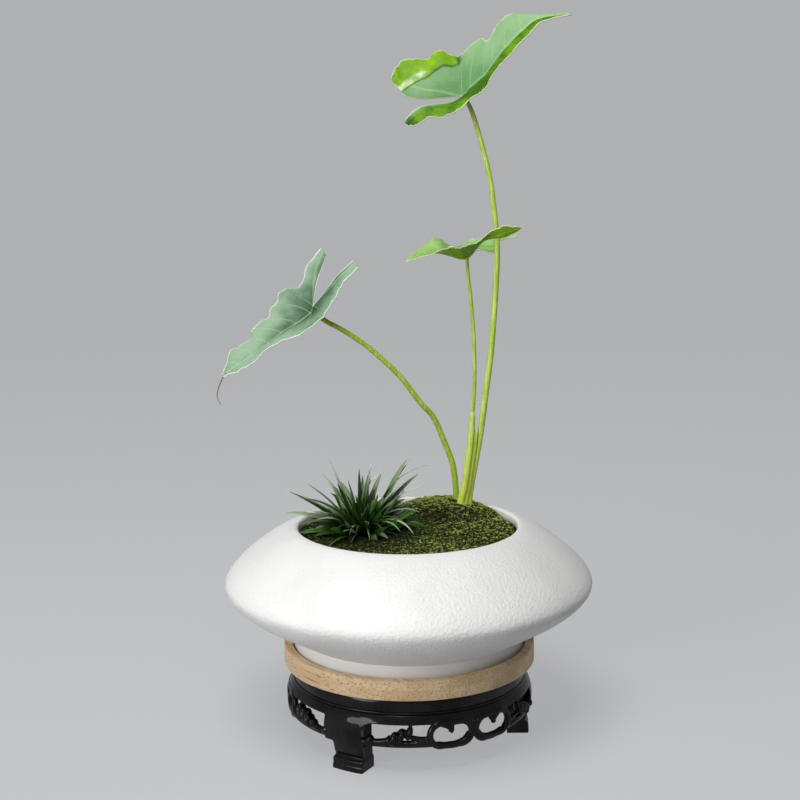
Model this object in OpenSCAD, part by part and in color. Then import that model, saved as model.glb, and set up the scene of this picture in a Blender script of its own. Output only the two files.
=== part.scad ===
// Low round flower pot on a laminated tray and a carved three-legged stand, planted with moss,
// a grass tuft and three lobed leaves. Millimetres, +Z up, origin on the table under the pot's axis.

/* [Stand] */
// Height of the stand, from the table to the underside of the tray
stand_h = 55; // [50:1:75]
// Largest radius of the stand's belly
belly_r = 88; // [84:1:105]
// Height of the belly's widest line above the table
belly_z = 30; // [26:1:34]
// How far the belly draws in from its widest line to the ankles
ankle_in = 5; // [4:0.5:10]
// How far the belly draws in from its widest line to the top rim
shoulder_in = 4.5; // [3:0.5:6]
// Height of the top rim
rim_h = 12; // [10:1:14]
// How far the rim draws in from its foot to its top
rim_in = 5; // [3:0.5:7]
// Setback of the top rim behind the belly
rim_inset = 0.5; // [0.5:0.25:2]
// Radius of the bead round the foot of the rim
rim_bead = 1; // [1:0.1:2]
// Radius of the round top panel
panel_r = 60; // [50:1:62]
// Thickness of the round top panel
panel_t = 6; // [4:0.5:8]
// Width of the ledge that carries the top panel
ledge_w = 8; // [5:1:12]
// Width of a leg where it meets the aprons
leg_w = 21; // [20:1:28]
// Width of a leg at its ankle
ankle_w = 22; // [18:0.5:23]
// Depth of a leg at its ankle, from front to back
ankle_d = 12.5; // [11:0.5:15]
// Height of a foot
foot_h = 7.5; // [6:0.5:9]
// How far a foot stands out in front of its ankle
foot_out = 3; // [2:0.5:5]
// How far a foot stands out on each side of its ankle
foot_side = 0.75; // [0.5:0.25:1.5]
// Width of the groove round a foot
foot_groove = 0.8; // [0.5:0.1:1.2]
// Direction of the first leg, seen from above
leg_turn = -120; // [-180:1:180]

/* [Aprons] */
// Thickness of an apron
apron_t = 7; // [6:0.5:9]
// Height of the rail along the top of an apron
rail_h = 6; // [5:0.5:8]
// Width of the upright at each end of an apron
upright_w = 1.5; // [1.5:0.5:4]
// Depth of that upright below the top of the apron
upright_h = 23; // [21:0.5:26]
// Radius of the corners under the rail
corner_r = 8; // [4:0.5:8]
// Thickness of the carved scroll bars
scroll_t = 4.6; // [4.6:0.2:6]
// Outer height of a scroll
scroll_h = 20.5; // [17:0.5:22]
// Outer width of a scroll
scroll_w = 34.5; // [29:0.5:36]
// Diameter of the vine between a scroll and a leg
vine_t = 5; // [4:0.2:5.6]
// Diameter of the carved berries on the vine
berry_d = 7; // [6:0.5:8]
// Diameter of the knob that hangs inside a scroll
knob_d = 4.6; // [4:0.2:6]

/* [Dowels] */
// Diameter of the dowel on top of each leg
leg_dowel_d = 5; // [4:0.5:6]
// Length of the dowel on top of each leg
leg_dowel_l = 12; // [8:1:12]
// Diameter of the dowels between aprons and legs
apron_dowel_d = 3; // [2:0.5:3.5]
// Length of the dowels between aprons and legs
apron_dowel_l = 9; // [6:0.5:10]
// Clearance round dowels and round the top panel
joint_gap = 0.15; // [0.1:0.05:0.3]

/* [Tray] */
// Thickness of the lower ply, which is the tray's floor
lower_ply = 7.8; // [5:0.2:10]
// Thickness of the upper ply, which is the tray's rim
upper_ply = 6.2; // [4:0.2:8]
// Clearance between the pot's foot and the tray's rim
foot_gap = 1.2; // [0.8:0.1:3]
// Width of the tray's rim
tray_rim_w = 6.3; // [5:0.1:12]
// Width of the bamboo strips
strip_w = 23; // [18:1:28]
// Width of the glue lines between strips
glue_w = 0.15; // [0.1:0.05:0.3]
// Direction of the strips, seen from above
strip_turn = -50; // [-180:1:180]
// Radius of the tray's rounded edges
tray_round = 1.2; // [0.6:0.2:1.6]

/* [Pot] */
// Largest radius of the pot
pot_r = 130; // [118:1:160]
// Height of the pot
pot_h = 90; // [80:1:110]
// Height of the widest line above the pot's foot
waist_z = 50.4; // [46:0.2:54]
// Radius of the mouth, inside the lip
mouth_r = 77.5; // [70:0.5:84]
// Radius of the foot ring
foot_r = 82; // [78:0.5:84]
// Height of the foot ring's smooth wall
foot_wall = 14; // [12:0.5:18]
// Width of the foot ring's standing face
foot_ring_w = 8; // [6:0.5:12]
// Depth of the hollow inside the foot ring
foot_hollow = 4; // [2:0.5:6]
// Thickness of the pot's wall
wall_t = 6; // [4:0.5:8]
// Thickness of the pot's floor
floor_t = 7; // [5:0.5:8]
// Radius of the rounded lip
lip_r = 2; // [1.5:0.25:2.5]
// Diameter of the drain hole
drain_d = 15; // [10:1:20]
// Diameter of the net over the drain hole
net_d = 34; // [28:1:40]
// Thickness of that net
net_t = 1; // [0.8:0.1:1.4]
// Width of the net's square gaps
net_gap = 2; // [1.6:0.1:2.4]

/* [Planting] */
// Depth of the root ball's top below the lip
ball_depth = 11; // [9:0.5:14]
// Clearance between the root ball and the mouth
ball_gap = 2.5; // [1.5:0.5:5]
// How much narrower the root ball is at its foot
ball_taper = 12; // [6:1:20]
// Clearance between the moss and the mouth
moss_gap = 0.8; // [0.5:0.1:1.5]
// Depth of the moss edge below the lip
moss_edge = 3.5; // [2:0.5:5]
// Height of the moss mound above the lip
mound_rise = 7; // [4:0.5:9]
// Radius of the moss mound's curve
mound_curve = 90; // [70:5:110]
// Diameter of the stem base under the moss
stem_d = 19; // [17:0.5:21]
// Diameter of the grass crown under the moss
crown_d = 26; // [22:1:30]
// Clearance between the moss and what grows through it
moss_hole_gap = 0.3; // [0.3:0.1:0.6]
// Size of the leafy plant, where 1 is as pictured
plant_size = 1; // [0.8:0.05:1.2]
// Thickness of the leaves
leaf_t = 1.2; // [1:0.1:1.6]
// Number of grass blades
blade_count = 48; // [30:1:60]
// Length of the grass blades
blade_l = 62; // [50:1:66]
// Width of the grass blades
blade_w = 2.4; // [1.6:0.1:2.6]
// Thickness of the grass blades
blade_t = 0.9; // [0.7:0.1:1.2]

/* [Hidden] */
$fn = 96;

dark_wood = "#2a2322";
bamboo = "#c9a877";
glaze = "#f1f1ef";
leaf_green = "#9fb8a0";
stalk_green = "#8fae3a";
soil = "#4a3a2c";

// Levels of the stack, from the table up
rim_z = stand_h - rim_h;
tray_floor_z = stand_h + lower_ply;
tray_top_z = tray_floor_z + upper_ply;
pot_z = tray_floor_z;
lip_z = pot_z + pot_h;
pot_floor = foot_hollow + floor_t;
ball_top_z = lip_z - ball_depth;

// The belly's section: one arc above its widest line and one below it
leg_count = 3;
leg_step = 360 / leg_count;
ankle_rise = 2;
ankle_z = foot_h + ankle_rise;
ankle_r = belly_r - ankle_in;
leg_in = ankle_r - ankle_d;
section_steps = 10;
function arc_radius(rise, draw) = (rise * rise + draw * draw) / (2 * draw);
function arc_drop(rise, radius) = radius - sqrt(max(radius * radius - rise * rise, 0));
upper_arc = arc_radius(rim_z - belly_z, shoulder_in);
lower_arc = arc_radius(belly_z - ankle_z, ankle_in);
function belly_at(z) = belly_r - (z > belly_z
    ? arc_drop(z - belly_z, upper_arc)
    : arc_drop(belly_z - z, lower_arc));
function belly_line(from_z, to_z, inset) = [for (i = [0 : section_steps])
    let (z = from_z + (to_z - from_z) * i / section_steps) [belly_at(z) - inset, z]];
rim_swell = 0.4;
function leg_angle(k) = leg_turn + leg_step * (k - 1);
function apron_angle(k) = leg_angle(k) + leg_step / 2;

// Where the dowels stand
leg_dowel_at = leg_in + ankle_d / 2;
apron_dowel_z = rim_z - rail_h / 2;
apron_dowel_at = sqrt(pow(belly_at(apron_dowel_z) - apron_t / 2, 2) - pow(leg_w / 2, 2));

// Smooth curves through points chosen by hand
function blend(a, b, t) = a + (b - a) * t;
function bezier(a, b, c, d, t) = pow(1 - t, 3) * a + 3 * t * pow(1 - t, 2) * b
    + 3 * t * t * (1 - t) * c + pow(t, 3) * d;
function bezier_line(a, b, c, d, steps) = [for (i = [0 : steps]) bezier(a, b, c, d, i / steps)];
function smooth_between(a, b, c, d, t) = 0.5 * (2 * b + (c - a) * t
    + (2 * a - 5 * b + 4 * c - d) * t * t + (3 * b - a - 3 * c + d) * pow(t, 3));
function smooth_at(p, u) = let (last = len(p) - 1, k = min(floor(u), last - 1))
    smooth_between(p[max(k - 1, 0)], p[k], p[k + 1], p[min(k + 2, last)], u - k);
function smooth_line(p, steps) = [for (i = [0 : steps]) smooth_at(p, (len(p) - 1) * i / steps)];
function unit(v) = v / norm(v);

// Stand

module stand_panel() {
    color(dark_wood)
        translate([0, 0, stand_h - panel_t])
            cylinder(r = panel_r, h = panel_t);
}

module leg_dowel_bores() {
    for (k = [1 : leg_count])
        rotate(leg_angle(k))
            translate([leg_dowel_at, 0, rim_z - leg_dowel_l / 2 - joint_gap])
                cylinder(d = leg_dowel_d + 2 * joint_gap, h = leg_dowel_l + 2 * joint_gap);
}

module apron_dowel(extra) {
    for (side = [-1, 1])
        translate([apron_dowel_at, side * leg_w / 2, apron_dowel_z])
            rotate([90, 0, 0])
                cylinder(d = apron_dowel_d + 2 * extra, h = apron_dowel_l + 2 * extra, center = true);
}

module stand_rim(k) {
    panel_seat = panel_r + joint_gap;
    rim_r = belly_at(rim_z) - rim_inset;
    rim_top_r = rim_r - rim_in;
    swell = rim_h * rim_swell;
    color(dark_wood) difference() {
        rotate(leg_angle(k) - leg_step / 2) rotate_extrude(angle = leg_step) union() {
            polygon(concat(
                [[rim_r, rim_z]],
                bezier_line([rim_r, rim_z + 2 * rim_bead], [rim_r, rim_z + 2 * rim_bead + swell],
                    [rim_top_r + swell, stand_h], [rim_top_r, stand_h], section_steps), [
                [panel_seat, stand_h],
                [panel_seat, stand_h - panel_t],
                [panel_r - ledge_w, stand_h - panel_t],
                [panel_r - ledge_w, rim_z]]));
            translate([rim_r, rim_z + rim_bead]) circle(r = rim_bead, $fn = 32);
        }
        leg_dowel_bores();
    }
}

// Half of a leg's front outline, as widths at heights from the foot to the rim
shoulder_z = rim_z - upright_h;
calf_share = 0.5;
knee_share = 0.6;
function leg_half_outline() = concat(
    [[ankle_w / 2 + foot_side, 0], [ankle_w / 2 + foot_side, foot_h]],
    bezier_line([ankle_w / 2, ankle_z], [ankle_w / 2, blend(ankle_z, shoulder_z, calf_share)],
        [leg_w / 2, blend(ankle_z, shoulder_z, knee_share)], [leg_w / 2, shoulder_z], section_steps),
    [[leg_w / 2, rim_z]]);

function leg_section() = let (front = ankle_r + foot_out, middle = foot_h / 2) concat(
    [[leg_in, 0],
        [front, 0],
        [front, middle - foot_groove / 2],
        [front - foot_groove, middle - foot_groove / 2],
        [front - foot_groove, middle + foot_groove / 2],
        [front - foot_groove / 2, middle + foot_groove / 2],
        [front - foot_groove / 2, foot_h]],
    belly_line(ankle_z, rim_z, 0),
    [[leg_in, rim_z]]);

module stand_leg(k) {
    half = leg_half_outline();
    outline = concat(half, [for (i = [len(half) - 1 : -1 : 0]) [-half[i][0], half[i][1]]]);
    color(dark_wood) difference() {
        rotate(leg_angle(k)) difference() {
            intersection() {
                rotate_extrude() polygon(leg_section());
                rotate([90, 0, 90]) linear_extrude(belly_r + foot_out) polygon(outline);
            }
            apron_dowel(joint_gap);
        }
        leg_dowel_bores();
    }
}

// Aprons: a curved rail with an upright at each end, and scrolls carved in the opening
opening_z = rim_z - rail_h;
opening_half = leg_step / 2 - asin((leg_w / 2 + upright_w) / belly_r);
corner_angle = opening_half - asin(corner_r / belly_r);
scroll_tube = scroll_t / 2;
scroll_bend = scroll_h / 2 - scroll_tube;
scroll_run = scroll_w / 2 - scroll_h / 2;
scroll_z = opening_z + scroll_tube - scroll_h / 2;
scroll_set = 1;
scroll_at = belly_at(scroll_z) - scroll_tube - scroll_set;
scroll_bite = 1;
scroll_angle = asin((scroll_w / 2 - scroll_bite) / scroll_at);
vine_share = 0.7;
vine_bite = 2.5;
vine_z = scroll_z - scroll_bend * vine_share;
vine_at = belly_at(vine_z) - vine_t / 2;
vine_from = 2 * scroll_angle - vine_bite;
vine_to = opening_half + asin(upright_w / 2 / belly_r);
berry_places = [[4, 2.5], [0, 5], [-4, 7.5]];
knob_hang = 0.7;

module sector(half_angle, inner, outer, from_z, to_z) {
    rotate(-half_angle) rotate_extrude(angle = 2 * half_angle)
        translate([inner, from_z]) square([outer - inner, to_z - from_z]);
}

module apron_opening() {
    deep = leg_in - apron_t;
    far = belly_r + apron_t;
    sector(corner_angle, deep, far, 0, opening_z);
    for (side = [-1, 1]) rotate(side * corner_angle) {
        translate([deep, -corner_r, 0]) cube([far - deep, 2 * corner_r, opening_z - corner_r]);
        translate([deep, 0, opening_z - corner_r]) rotate([0, 90, 0]) cylinder(r = corner_r, h = far - deep);
    }
}

module oval_scroll() {
    for (side = [-1, 1]) {
        translate([0, side * scroll_run, 0]) rotate([90, 0, 90]) rotate(-90 * side)
            rotate_extrude(angle = 180) translate([scroll_bend, 0]) circle(r = scroll_tube, $fn = 32);
        translate([0, 0, side * scroll_bend]) rotate([90, 0, 0])
            cylinder(r = scroll_tube, h = 2 * scroll_run, center = true, $fn = 32);
    }
}

module scrollwork() {
    berry_angle = (vine_from + vine_to) / 2;
    for (side = [-1, 1]) {
        rotate(side * scroll_angle) translate([scroll_at, 0, scroll_z]) {
            oval_scroll();
            translate([0, 0, scroll_bend - knob_d * knob_hang]) sphere(d = knob_d, $fn = 32);
        }
        rotate(side > 0 ? vine_from : -vine_to) rotate_extrude(angle = vine_to - vine_from)
            translate([vine_at, vine_z]) circle(d = vine_t, $fn = 32);
        for (place = berry_places)
            rotate(side * (berry_angle + asin(place[0] / vine_at)))
                translate([vine_at, 0, vine_z + place[1]]) sphere(d = berry_d, $fn = 32);
    }
}

module stand_apron(k) {
    line = belly_line(shoulder_z, rim_z, 0);
    shell = concat(line, [for (i = [len(line) - 1 : -1 : 0]) line[i] - [apron_t, 0]]);
    color(dark_wood) rotate(apron_angle(k)) difference() {
        union() {
            difference() {
                rotate(-leg_step / 2) rotate_extrude(angle = leg_step) polygon(shell);
                apron_opening();
            }
            scrollwork();
        }
        for (side = [-1, 1]) rotate(side * leg_step / 2) {
            translate([0, -leg_w / 2, 0]) cube([belly_r + apron_t, leg_w, stand_h]);
            apron_dowel(joint_gap);
        }
    }
}

module leg_dowels() {
    color(bamboo) for (k = [1 : leg_count])
        rotate(leg_angle(k))
            translate([leg_dowel_at, 0, rim_z - leg_dowel_l / 2])
                cylinder(d = leg_dowel_d, h = leg_dowel_l);
}

module apron_dowels() {
    color(bamboo) for (k = [1 : leg_count]) rotate(leg_angle(k)) apron_dowel(0);
}

// Tray

recess_r = foot_r + foot_gap;
tray_r = recess_r + tray_rim_w;
round_steps = 4;
function round_corner(centre, from_angle) = [for (i = [0 : round_steps])
    let (a = from_angle + 90 * i / round_steps) centre + tray_round * [cos(a), sin(a)]];

module bamboo_strips(shift) {
    span = 2 * tray_r;
    last = ceil(tray_r / strip_w) + 1;
    rotate(strip_turn) for (i = [-last : last])
        translate([-tray_r, i * strip_w + shift + glue_w / 2, 0])
            cube([span, strip_w - glue_w, tray_top_z]);
}

module tray_floor_strips() {
    color(bamboo) intersection() {
        rotate_extrude() polygon(concat(
            [[0, stand_h]],
            round_corner([tray_r - tray_round, stand_h + tray_round], -90),
            [[tray_r, tray_floor_z], [0, tray_floor_z]]));
        bamboo_strips(0);
    }
}

module tray_rim_strips() {
    color(bamboo) intersection() {
        rotate_extrude() polygon(concat(
            [[recess_r, tray_floor_z], [tray_r, tray_floor_z]],
            round_corner([tray_r - tray_round, tray_top_z - tray_round], 0),
            round_corner([recess_r + tray_round, tray_top_z - tray_round], 90)));
        bamboo_strips(strip_w / 2);
    }
}

// Pot: one turned wall from the foot ring over the waist to the lip, and back along the inside

curve_steps = 18;
inner_waist_r = pot_r - wall_t;
inner_floor_r = foot_r - wall_t;
lip_reach = 12;
lip_fall = 1;
waist_reach = 12;
inner_waist_reach = 9;
foot_reach = 21;
foot_rise_angle = 32;
foot_edge = 1;

function pot_outside() = concat(
    [[foot_r - foot_edge, 0], [foot_r, foot_edge]],
    bezier_line([foot_r, foot_wall],
        [foot_r + foot_reach * cos(foot_rise_angle), foot_wall + foot_reach * sin(foot_rise_angle)],
        [pot_r, waist_z - waist_reach], [pot_r, waist_z], curve_steps),
    [for (i = [1 : curve_steps]) bezier([pot_r, waist_z], [pot_r, waist_z + waist_reach],
        [mouth_r + lip_r + lip_reach, pot_h - lip_fall], [mouth_r + lip_r, pot_h], i / curve_steps)]);

function pot_lip() = [for (i = [1 : 2 * round_steps])
    let (a = 90 + 90 * i / (2 * round_steps))
    [mouth_r + lip_r, pot_h - lip_r] + lip_r * [cos(a), sin(a)]];

function pot_inside() = concat(
    bezier_line([mouth_r, pot_h - wall_t], [mouth_r + lip_reach, pot_h - wall_t - lip_fall],
        [inner_waist_r, waist_z + inner_waist_reach], [inner_waist_r, waist_z], curve_steps),
    [for (i = [1 : curve_steps]) bezier(
        [inner_waist_r, waist_z], [inner_waist_r, waist_z - inner_waist_reach],
        [inner_floor_r + foot_reach * cos(foot_rise_angle), pot_floor + foot_reach * sin(foot_rise_angle)],
        [inner_floor_r, pot_floor], i / curve_steps)]);

module pot() {
    color(glaze) translate([0, 0, pot_z]) rotate_extrude($fn = 180) polygon(concat(
        pot_outside(), pot_lip(), pot_inside(),
        [[drain_d / 2, pot_floor],
            [drain_d / 2, foot_hollow],
            [foot_r - foot_ring_w, foot_hollow],
            [foot_r - foot_ring_w, 0]]));
}

module drain_net() {
    net_bar = net_gap / 2;
    pitch = net_gap + net_bar;
    reach = floor((net_d / 2 - net_gap) / pitch);
    color("#3d4a3a") translate([0, 0, pot_z + pot_floor]) linear_extrude(net_t) difference() {
        circle(d = net_d);
        for (i = [-reach : reach])
            for (j = [-reach : reach])
                if (norm([abs(i) + 0.5, abs(j) + 0.5]) * pitch < net_d / 2 - net_gap / 2)
                    translate(pitch * [i, j]) square(net_gap, center = true);
    }
}

// Planting: a root ball that passes the mouth, moss on top, and what grows through the moss

ball_top_r = mouth_r - ball_gap;
moss_r = mouth_r - moss_gap;
moss_edge_z = lip_z - moss_edge;
moss_round = 3;
mound_at = [25, 40];
stem_at = [40, 38.5];
crown_at = [-32, -14];
stem_top_z = lip_z;
crown_sunk = 1;
crown_top_z = lip_z - crown_sunk;
net_clear = 0.5;

module root_ball() {
    net_room = net_t + net_clear;
    base_z = pot_z + pot_floor;
    color(soil) rotate_extrude() polygon([
        [0, base_z + net_room],
        [net_d / 2 + net_room, base_z + net_room],
        [net_d / 2 + net_room, base_z],
        [ball_top_r - ball_taper - moss_round, base_z],
        [ball_top_r - ball_taper, base_z + moss_round],
        [ball_top_r, ball_top_z],
        [0, ball_top_z]]);
}

module moss() {
    color("#5c6b2a") difference() {
        intersection() {
            union() {
                rotate_extrude() polygon(concat(
                    [[0, ball_top_z], [moss_r, ball_top_z]],
                    bezier_line([moss_r, moss_edge_z - moss_round], [moss_r, moss_edge_z],
                        [moss_r - moss_round, moss_edge_z], [0, lip_z], section_steps)));
                translate([mound_at[0], mound_at[1], lip_z + mound_rise - mound_curve])
                    sphere(r = mound_curve);
            }
            translate([0, 0, ball_top_z]) cylinder(r = moss_r, h = ball_depth + mound_rise);
        }
        translate([stem_at[0], stem_at[1], ball_top_z])
            cylinder(d = stem_d + 2 * moss_hole_gap, h = ball_depth + mound_rise);
        translate([crown_at[0], crown_at[1], ball_top_z])
            cylinder(d = crown_d + 2 * moss_hole_gap, h = ball_depth + mound_rise);
    }
}

module stem_base() {
    color(stalk_green) translate([stem_at[0], stem_at[1], ball_top_z])
        cylinder(d = stem_d, h = stem_top_z - ball_top_z);
}

module grass_crown() {
    color("#6f7d3c") translate([crown_at[0], crown_at[1], ball_top_z])
        cylinder(d = crown_d, h = crown_top_z - ball_top_z);
}

// Stalks: tubes along routes given from the top of the stem base, as [right, back, up]

stalk_sides = 8;
tall_route = [[4.5, 0, 0], [5, 0, 8], [7, 0, 21], [12.5, -1, 52], [16.5, -3, 82], [21, -4, 119],
    [24, -6, 162], [25, -8, 191], [23, -9, 217], [19, -11, 244], [12, -12, 271], [6, -13.5, 289],
    [0.5, -16, 296.5]];
sheath_route = [[-1.5, -4.5, 0], [-1, -4.5, 8], [2, -4.5, 21], [6, -5, 52], [7, -5, 66], [7.5, -5, 74]];
short_route = [[7.5, -5, 74.3], [8, -5.5, 80], [9, -6, 98], [8.5, -6.5, 127], [6.5, -7, 155],
    [4.5, -8, 172], [3.5, -8, 185.5]];
bent_route = [[-4, 4.5, 0], [-4, 4.5, 8], [-6.5, 4, 32], [-13, 2, 51], [-21, -2, 70], [-30, -7, 81],
    [-45, -13, 102], [-66, -20, 123], [-83, -26, 136], [-96, -31, 144], [-104.5, -35.5, 151]];
tall_radii = [2.6, 1.5];
sheath_radii = [2.9, 2.4];
short_radii = [1.5, 1.1];
bent_radii = [2.3, 1.7];

function ring_points(centre, along, radius) =
    let (side = unit(cross([0, 1, 0], along)), back = unit(cross(along, side)))
    [for (s = [0 : stalk_sides - 1]) let (a = 360 * s / stalk_sides)
        centre + radius * (cos(a) * side + sin(a) * back)];

module stalk(route, radii, steps) {
    line = smooth_line([for (p = route) p * plant_size + [stem_at[0], stem_at[1], stem_top_z]], steps);
    rings = [for (i = [0 : steps]) ring_points(line[i],
        i == 0 ? [0, 0, 1] : unit(line[min(i + 1, steps)] - line[i - 1]),
        blend(radii[0], radii[1], i / steps))];
    sides = stalk_sides;
    polyhedron(
        points = [for (ring = rings) for (p = ring) p],
        faces = concat(
            [[for (s = [0 : sides - 1]) s], [for (s = [sides - 1 : -1 : 0]) steps * sides + s]],
            [for (i = [0 : steps - 1]) for (s = [0 : sides - 1])
                let (a = i * sides + s, b = i * sides + (s + 1) % sides)
                each [[a, a + sides, b + sides], [a, b + sides, b]]]));
}

module tall_stalk() { color(stalk_green) stalk(tall_route, tall_radii, steps = 24); }
module leaf_sheath() { color("#a3bf4c") stalk(sheath_route, sheath_radii, steps = 10); }
module short_stalk() { color(stalk_green) stalk(short_route, short_radii, steps = 12); }
module bent_stalk() { color(stalk_green) stalk(bent_route, bent_radii, steps = 20); }

// Leaves: rows from the tips of the two back lobes to the leaf's point. Each row holds the far half's
// inner and outer edge and the near half's inner and outer edge, on the leaf's underside, as
// [right, back, up] from the leaf's base. From the base on, the two inner edges are the midrib.

leaf_columns = 3;
leaf_under = [0, 0.7, -0.7];
short_under = [0, 0.3, -0.95];
bent_leaf_at = [-103, -34, 150];
tall_leaf_at = [2, -15, 300];
short_leaf_at = [3.5, -8, 182];

bent_rows = [
    [[8, 14, 38], [4, 15, 44], [27, -14, 37], [31, -17, 33]],
    [[4, 11, 28], [-6, 13, 31], [17, -10, 28], [21, -15, 22]],
    [[1, 7, 19], [-11, 12, 18], [10, -6, 19], [15, -15, 13]],
    [[-1, 0, 5], [-18, 13, 16], [-1, 0, 5], [10, -18, 4]],
    [[-3, -1, 0], [-25, 13, 13], [-3, -1, 0], [4, -22, -3]],
    [[-13, -3, -7], [-30, 11, 2], [-13, -3, -7], [-10, -24, -11]],
    [[-23, -5, -13], [-38, 8, -6], [-23, -5, -13], [-23, -22, -17]],
    [[-32, -7, -20], [-45, 5, -11], [-32, -7, -20], [-34, -20, -23]],
    [[-43, -9, -28], [-46, 2, -18], [-43, -9, -28], [-44, -20, -33]],
    [[-53, -11, -34], [-58, -3, -26], [-53, -11, -34], [-52, -18, -37]],
    [[-63.5, -14, -41], [-64.5, -13, -40], [-63.5, -14, -41], [-63.5, -15, -42]]];
bent_base = 3;

tall_rows = [
    [[-49.5, 9, 6.5], [-50.5, 9.5, 10.5], [-41.5, -21, -19.5], [-40.5, -21.5, -22.5]],
    [[-45, 7.5, 2.5], [-47.5, 11, 17], [-38, -18.5, -15], [-36, -21.5, -23.5]],
    [[-40, 6, -3], [-42, 16, 22], [-31, -15, -10], [-25, -20, -18]],
    [[-28, 4, -5], [-26, 17, 23], [-20, -10, -8], [-12, -18, -16]],
    [[-14, 2, -4], [-19, 17, 29], [-10, -5, -7], [-4, -16, -12]],
    [[-2, 0, -3], [-7, 16, 25], [-2, 0, -3], [5, -16, -4]],
    [[4, -1, 3], [-1, 15, 26.5], [4, -1, 3], [10, -17, -1]],
    [[13, -2, 11], [10, 14, 36], [13, -2, 11], [14.5, -17, 3.5]],
    [[18, -3, 17], [16, 11, 35], [18, -3, 17], [19, -15, 11]],
    [[27, -4, 29], [22, 9, 43.5], [27, -4, 29], [29, -13, 23]],
    [[38, -6, 40], [30, 5, 51], [38, -6, 40], [41, -12, 35]],
    [[50, -7, 48], [38.5, 0, 51.5], [50, -7, 48], [53, -11, 45.5]],
    [[71.5, -9, 50.5], [71.5, -8, 51], [71.5, -9, 50.5], [72, -10, 50]]];
tall_base = 5;

short_rows = [
    [[36.5, 8, 17], [36, 10, 18.5], [35.5, -14, 23], [38, -19, 25.5]],
    [[24.5, 7, 14.5], [26, 10, 18], [29, -12, 19.5], [30, -19, 26.5]],
    [[19.5, 6, 6], [19, 10, 16.5], [24, -11, 17.5], [22, -19, 26]],
    [[8, 3, 8.5], [4.5, 14, 15], [12, -6, 15.5], [13, -14, 20.5]],
    [[2.5, 0, 4.5], [-2, 18, 11], [2.5, 0, 4.5], [4.5, -15, 14]],
    [[-3.5, -1, 2.5], [-7.5, 19, 10.5], [-3.5, -1, 2.5], [-5.5, -17, 12]],
    [[-10.5, -2, 4.5], [-14, 18, 13.5], [-10.5, -2, 4.5], [-13, -17, 12.5]],
    [[-19, -3, 7], [-20, 15, 17], [-19, -3, 7], [-23.5, -15, 7.5]],
    [[-29, -4, 7], [-30.5, 9, 12], [-29, -4, 7], [-33, -12, 5]],
    [[-43.5, -6, 2], [-43.5, -5, 2.5], [-43.5, -6, 2], [-43.5, -7, 1.5]]];
short_base = 4;

module leaf(rows, base_row, at, downward) {
    steps = 2 * (len(rows) - 1);
    base = 2 * base_row;
    cols = leaf_columns;
    edges = [for (e = [0 : 3]) smooth_line([for (row = rows) row[e] * plant_size], steps)];
    origin = [stem_at[0], stem_at[1], stem_top_z] + at * plant_size;
    sheet = [for (half = [0, 1]) for (i = [0 : steps]) for (j = [0 : cols])
        origin + blend(edges[2 * half][i], edges[2 * half + 1][i], j / cols)];
    under = len(sheet);
    function spot(half, i, j) =
        (j == 0 && i >= base ? 0 : half) * (steps + 1) * (cols + 1) + i * (cols + 1) + j;
    // Two triangles on the upper face, turned over for the lower face
    function cell(h, i, j) = let (a = spot(h, i, j), b = spot(h, i + 1, j), c = spot(h, i + 1, j + 1),
        d = spot(h, i, j + 1)) [[a, b, c], [a, c, d]];
    function turned(faces) = [for (f = faces) [f[2], f[1], f[0]]];
    function below(faces) = [for (f = faces) f + [under, under, under]];
    // A wall from the upper to the lower face along one edge
    function wall(a, b) = [[a, b + under, a + under], [a, b, b + under]];
    near_top = [for (i = [0 : steps - 1]) for (j = [0 : cols - 1]) each cell(1, i, j)];
    far_top = turned([for (i = [0 : steps - 1]) for (j = [0 : cols - 1]) each cell(0, i, j)]);
    top = concat(far_top, near_top);
    far_walls = concat(
        [for (i = [0 : steps - 1]) each wall(spot(0, i + 1, cols), spot(0, i, cols))],
        [for (i = [0 : base - 1]) each wall(spot(0, i, 0), spot(0, i + 1, 0))],
        [for (j = [0 : cols - 1]) each concat(
            wall(spot(0, 0, j + 1), spot(0, 0, j)), wall(spot(0, steps, j), spot(0, steps, j + 1)))]);
    near_walls = concat(
        [for (i = [0 : steps - 1]) each wall(spot(1, i, cols), spot(1, i + 1, cols))],
        [for (i = [0 : base - 1]) each wall(spot(1, i + 1, 0), spot(1, i, 0))],
        [for (j = [0 : cols - 1]) each concat(
            wall(spot(1, 0, j), spot(1, 0, j + 1)), wall(spot(1, steps, j + 1), spot(1, steps, j)))]);
    faces = concat(top, turned(below(top)), far_walls, near_walls);
    // A leaf that points right has its near half on the other hand of the midrib
    forward = rows[len(rows) - 1][0] - rows[base_row][0];
    nearward = rows[base_row][3] - rows[base_row][2];
    points_left = cross(forward, nearward) * downward < 0;
    polyhedron(
        points = concat([for (p = sheet) p - leaf_t * downward], sheet),
        faces = points_left ? turned(faces) : faces);
}

module tall_leaf() { color(leaf_green) leaf(tall_rows, tall_base, tall_leaf_at, leaf_under); }
module short_leaf() { color(leaf_green) leaf(short_rows, short_base, short_leaf_at, short_under); }
module bent_leaf() { color(leaf_green) leaf(bent_rows, bent_base, bent_leaf_at, leaf_under); }

// Grass: blades in the planes through the crown's axis, upright in the middle and leaning outside

blade_steps = 5;
golden_turn = 137.508;
middle_lean = 6;
edge_lean = 44;
blade_bend = 45;
blade_vary = 0.14;
blade_shuffle = 97;
blade_tip = 0.06;

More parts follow.
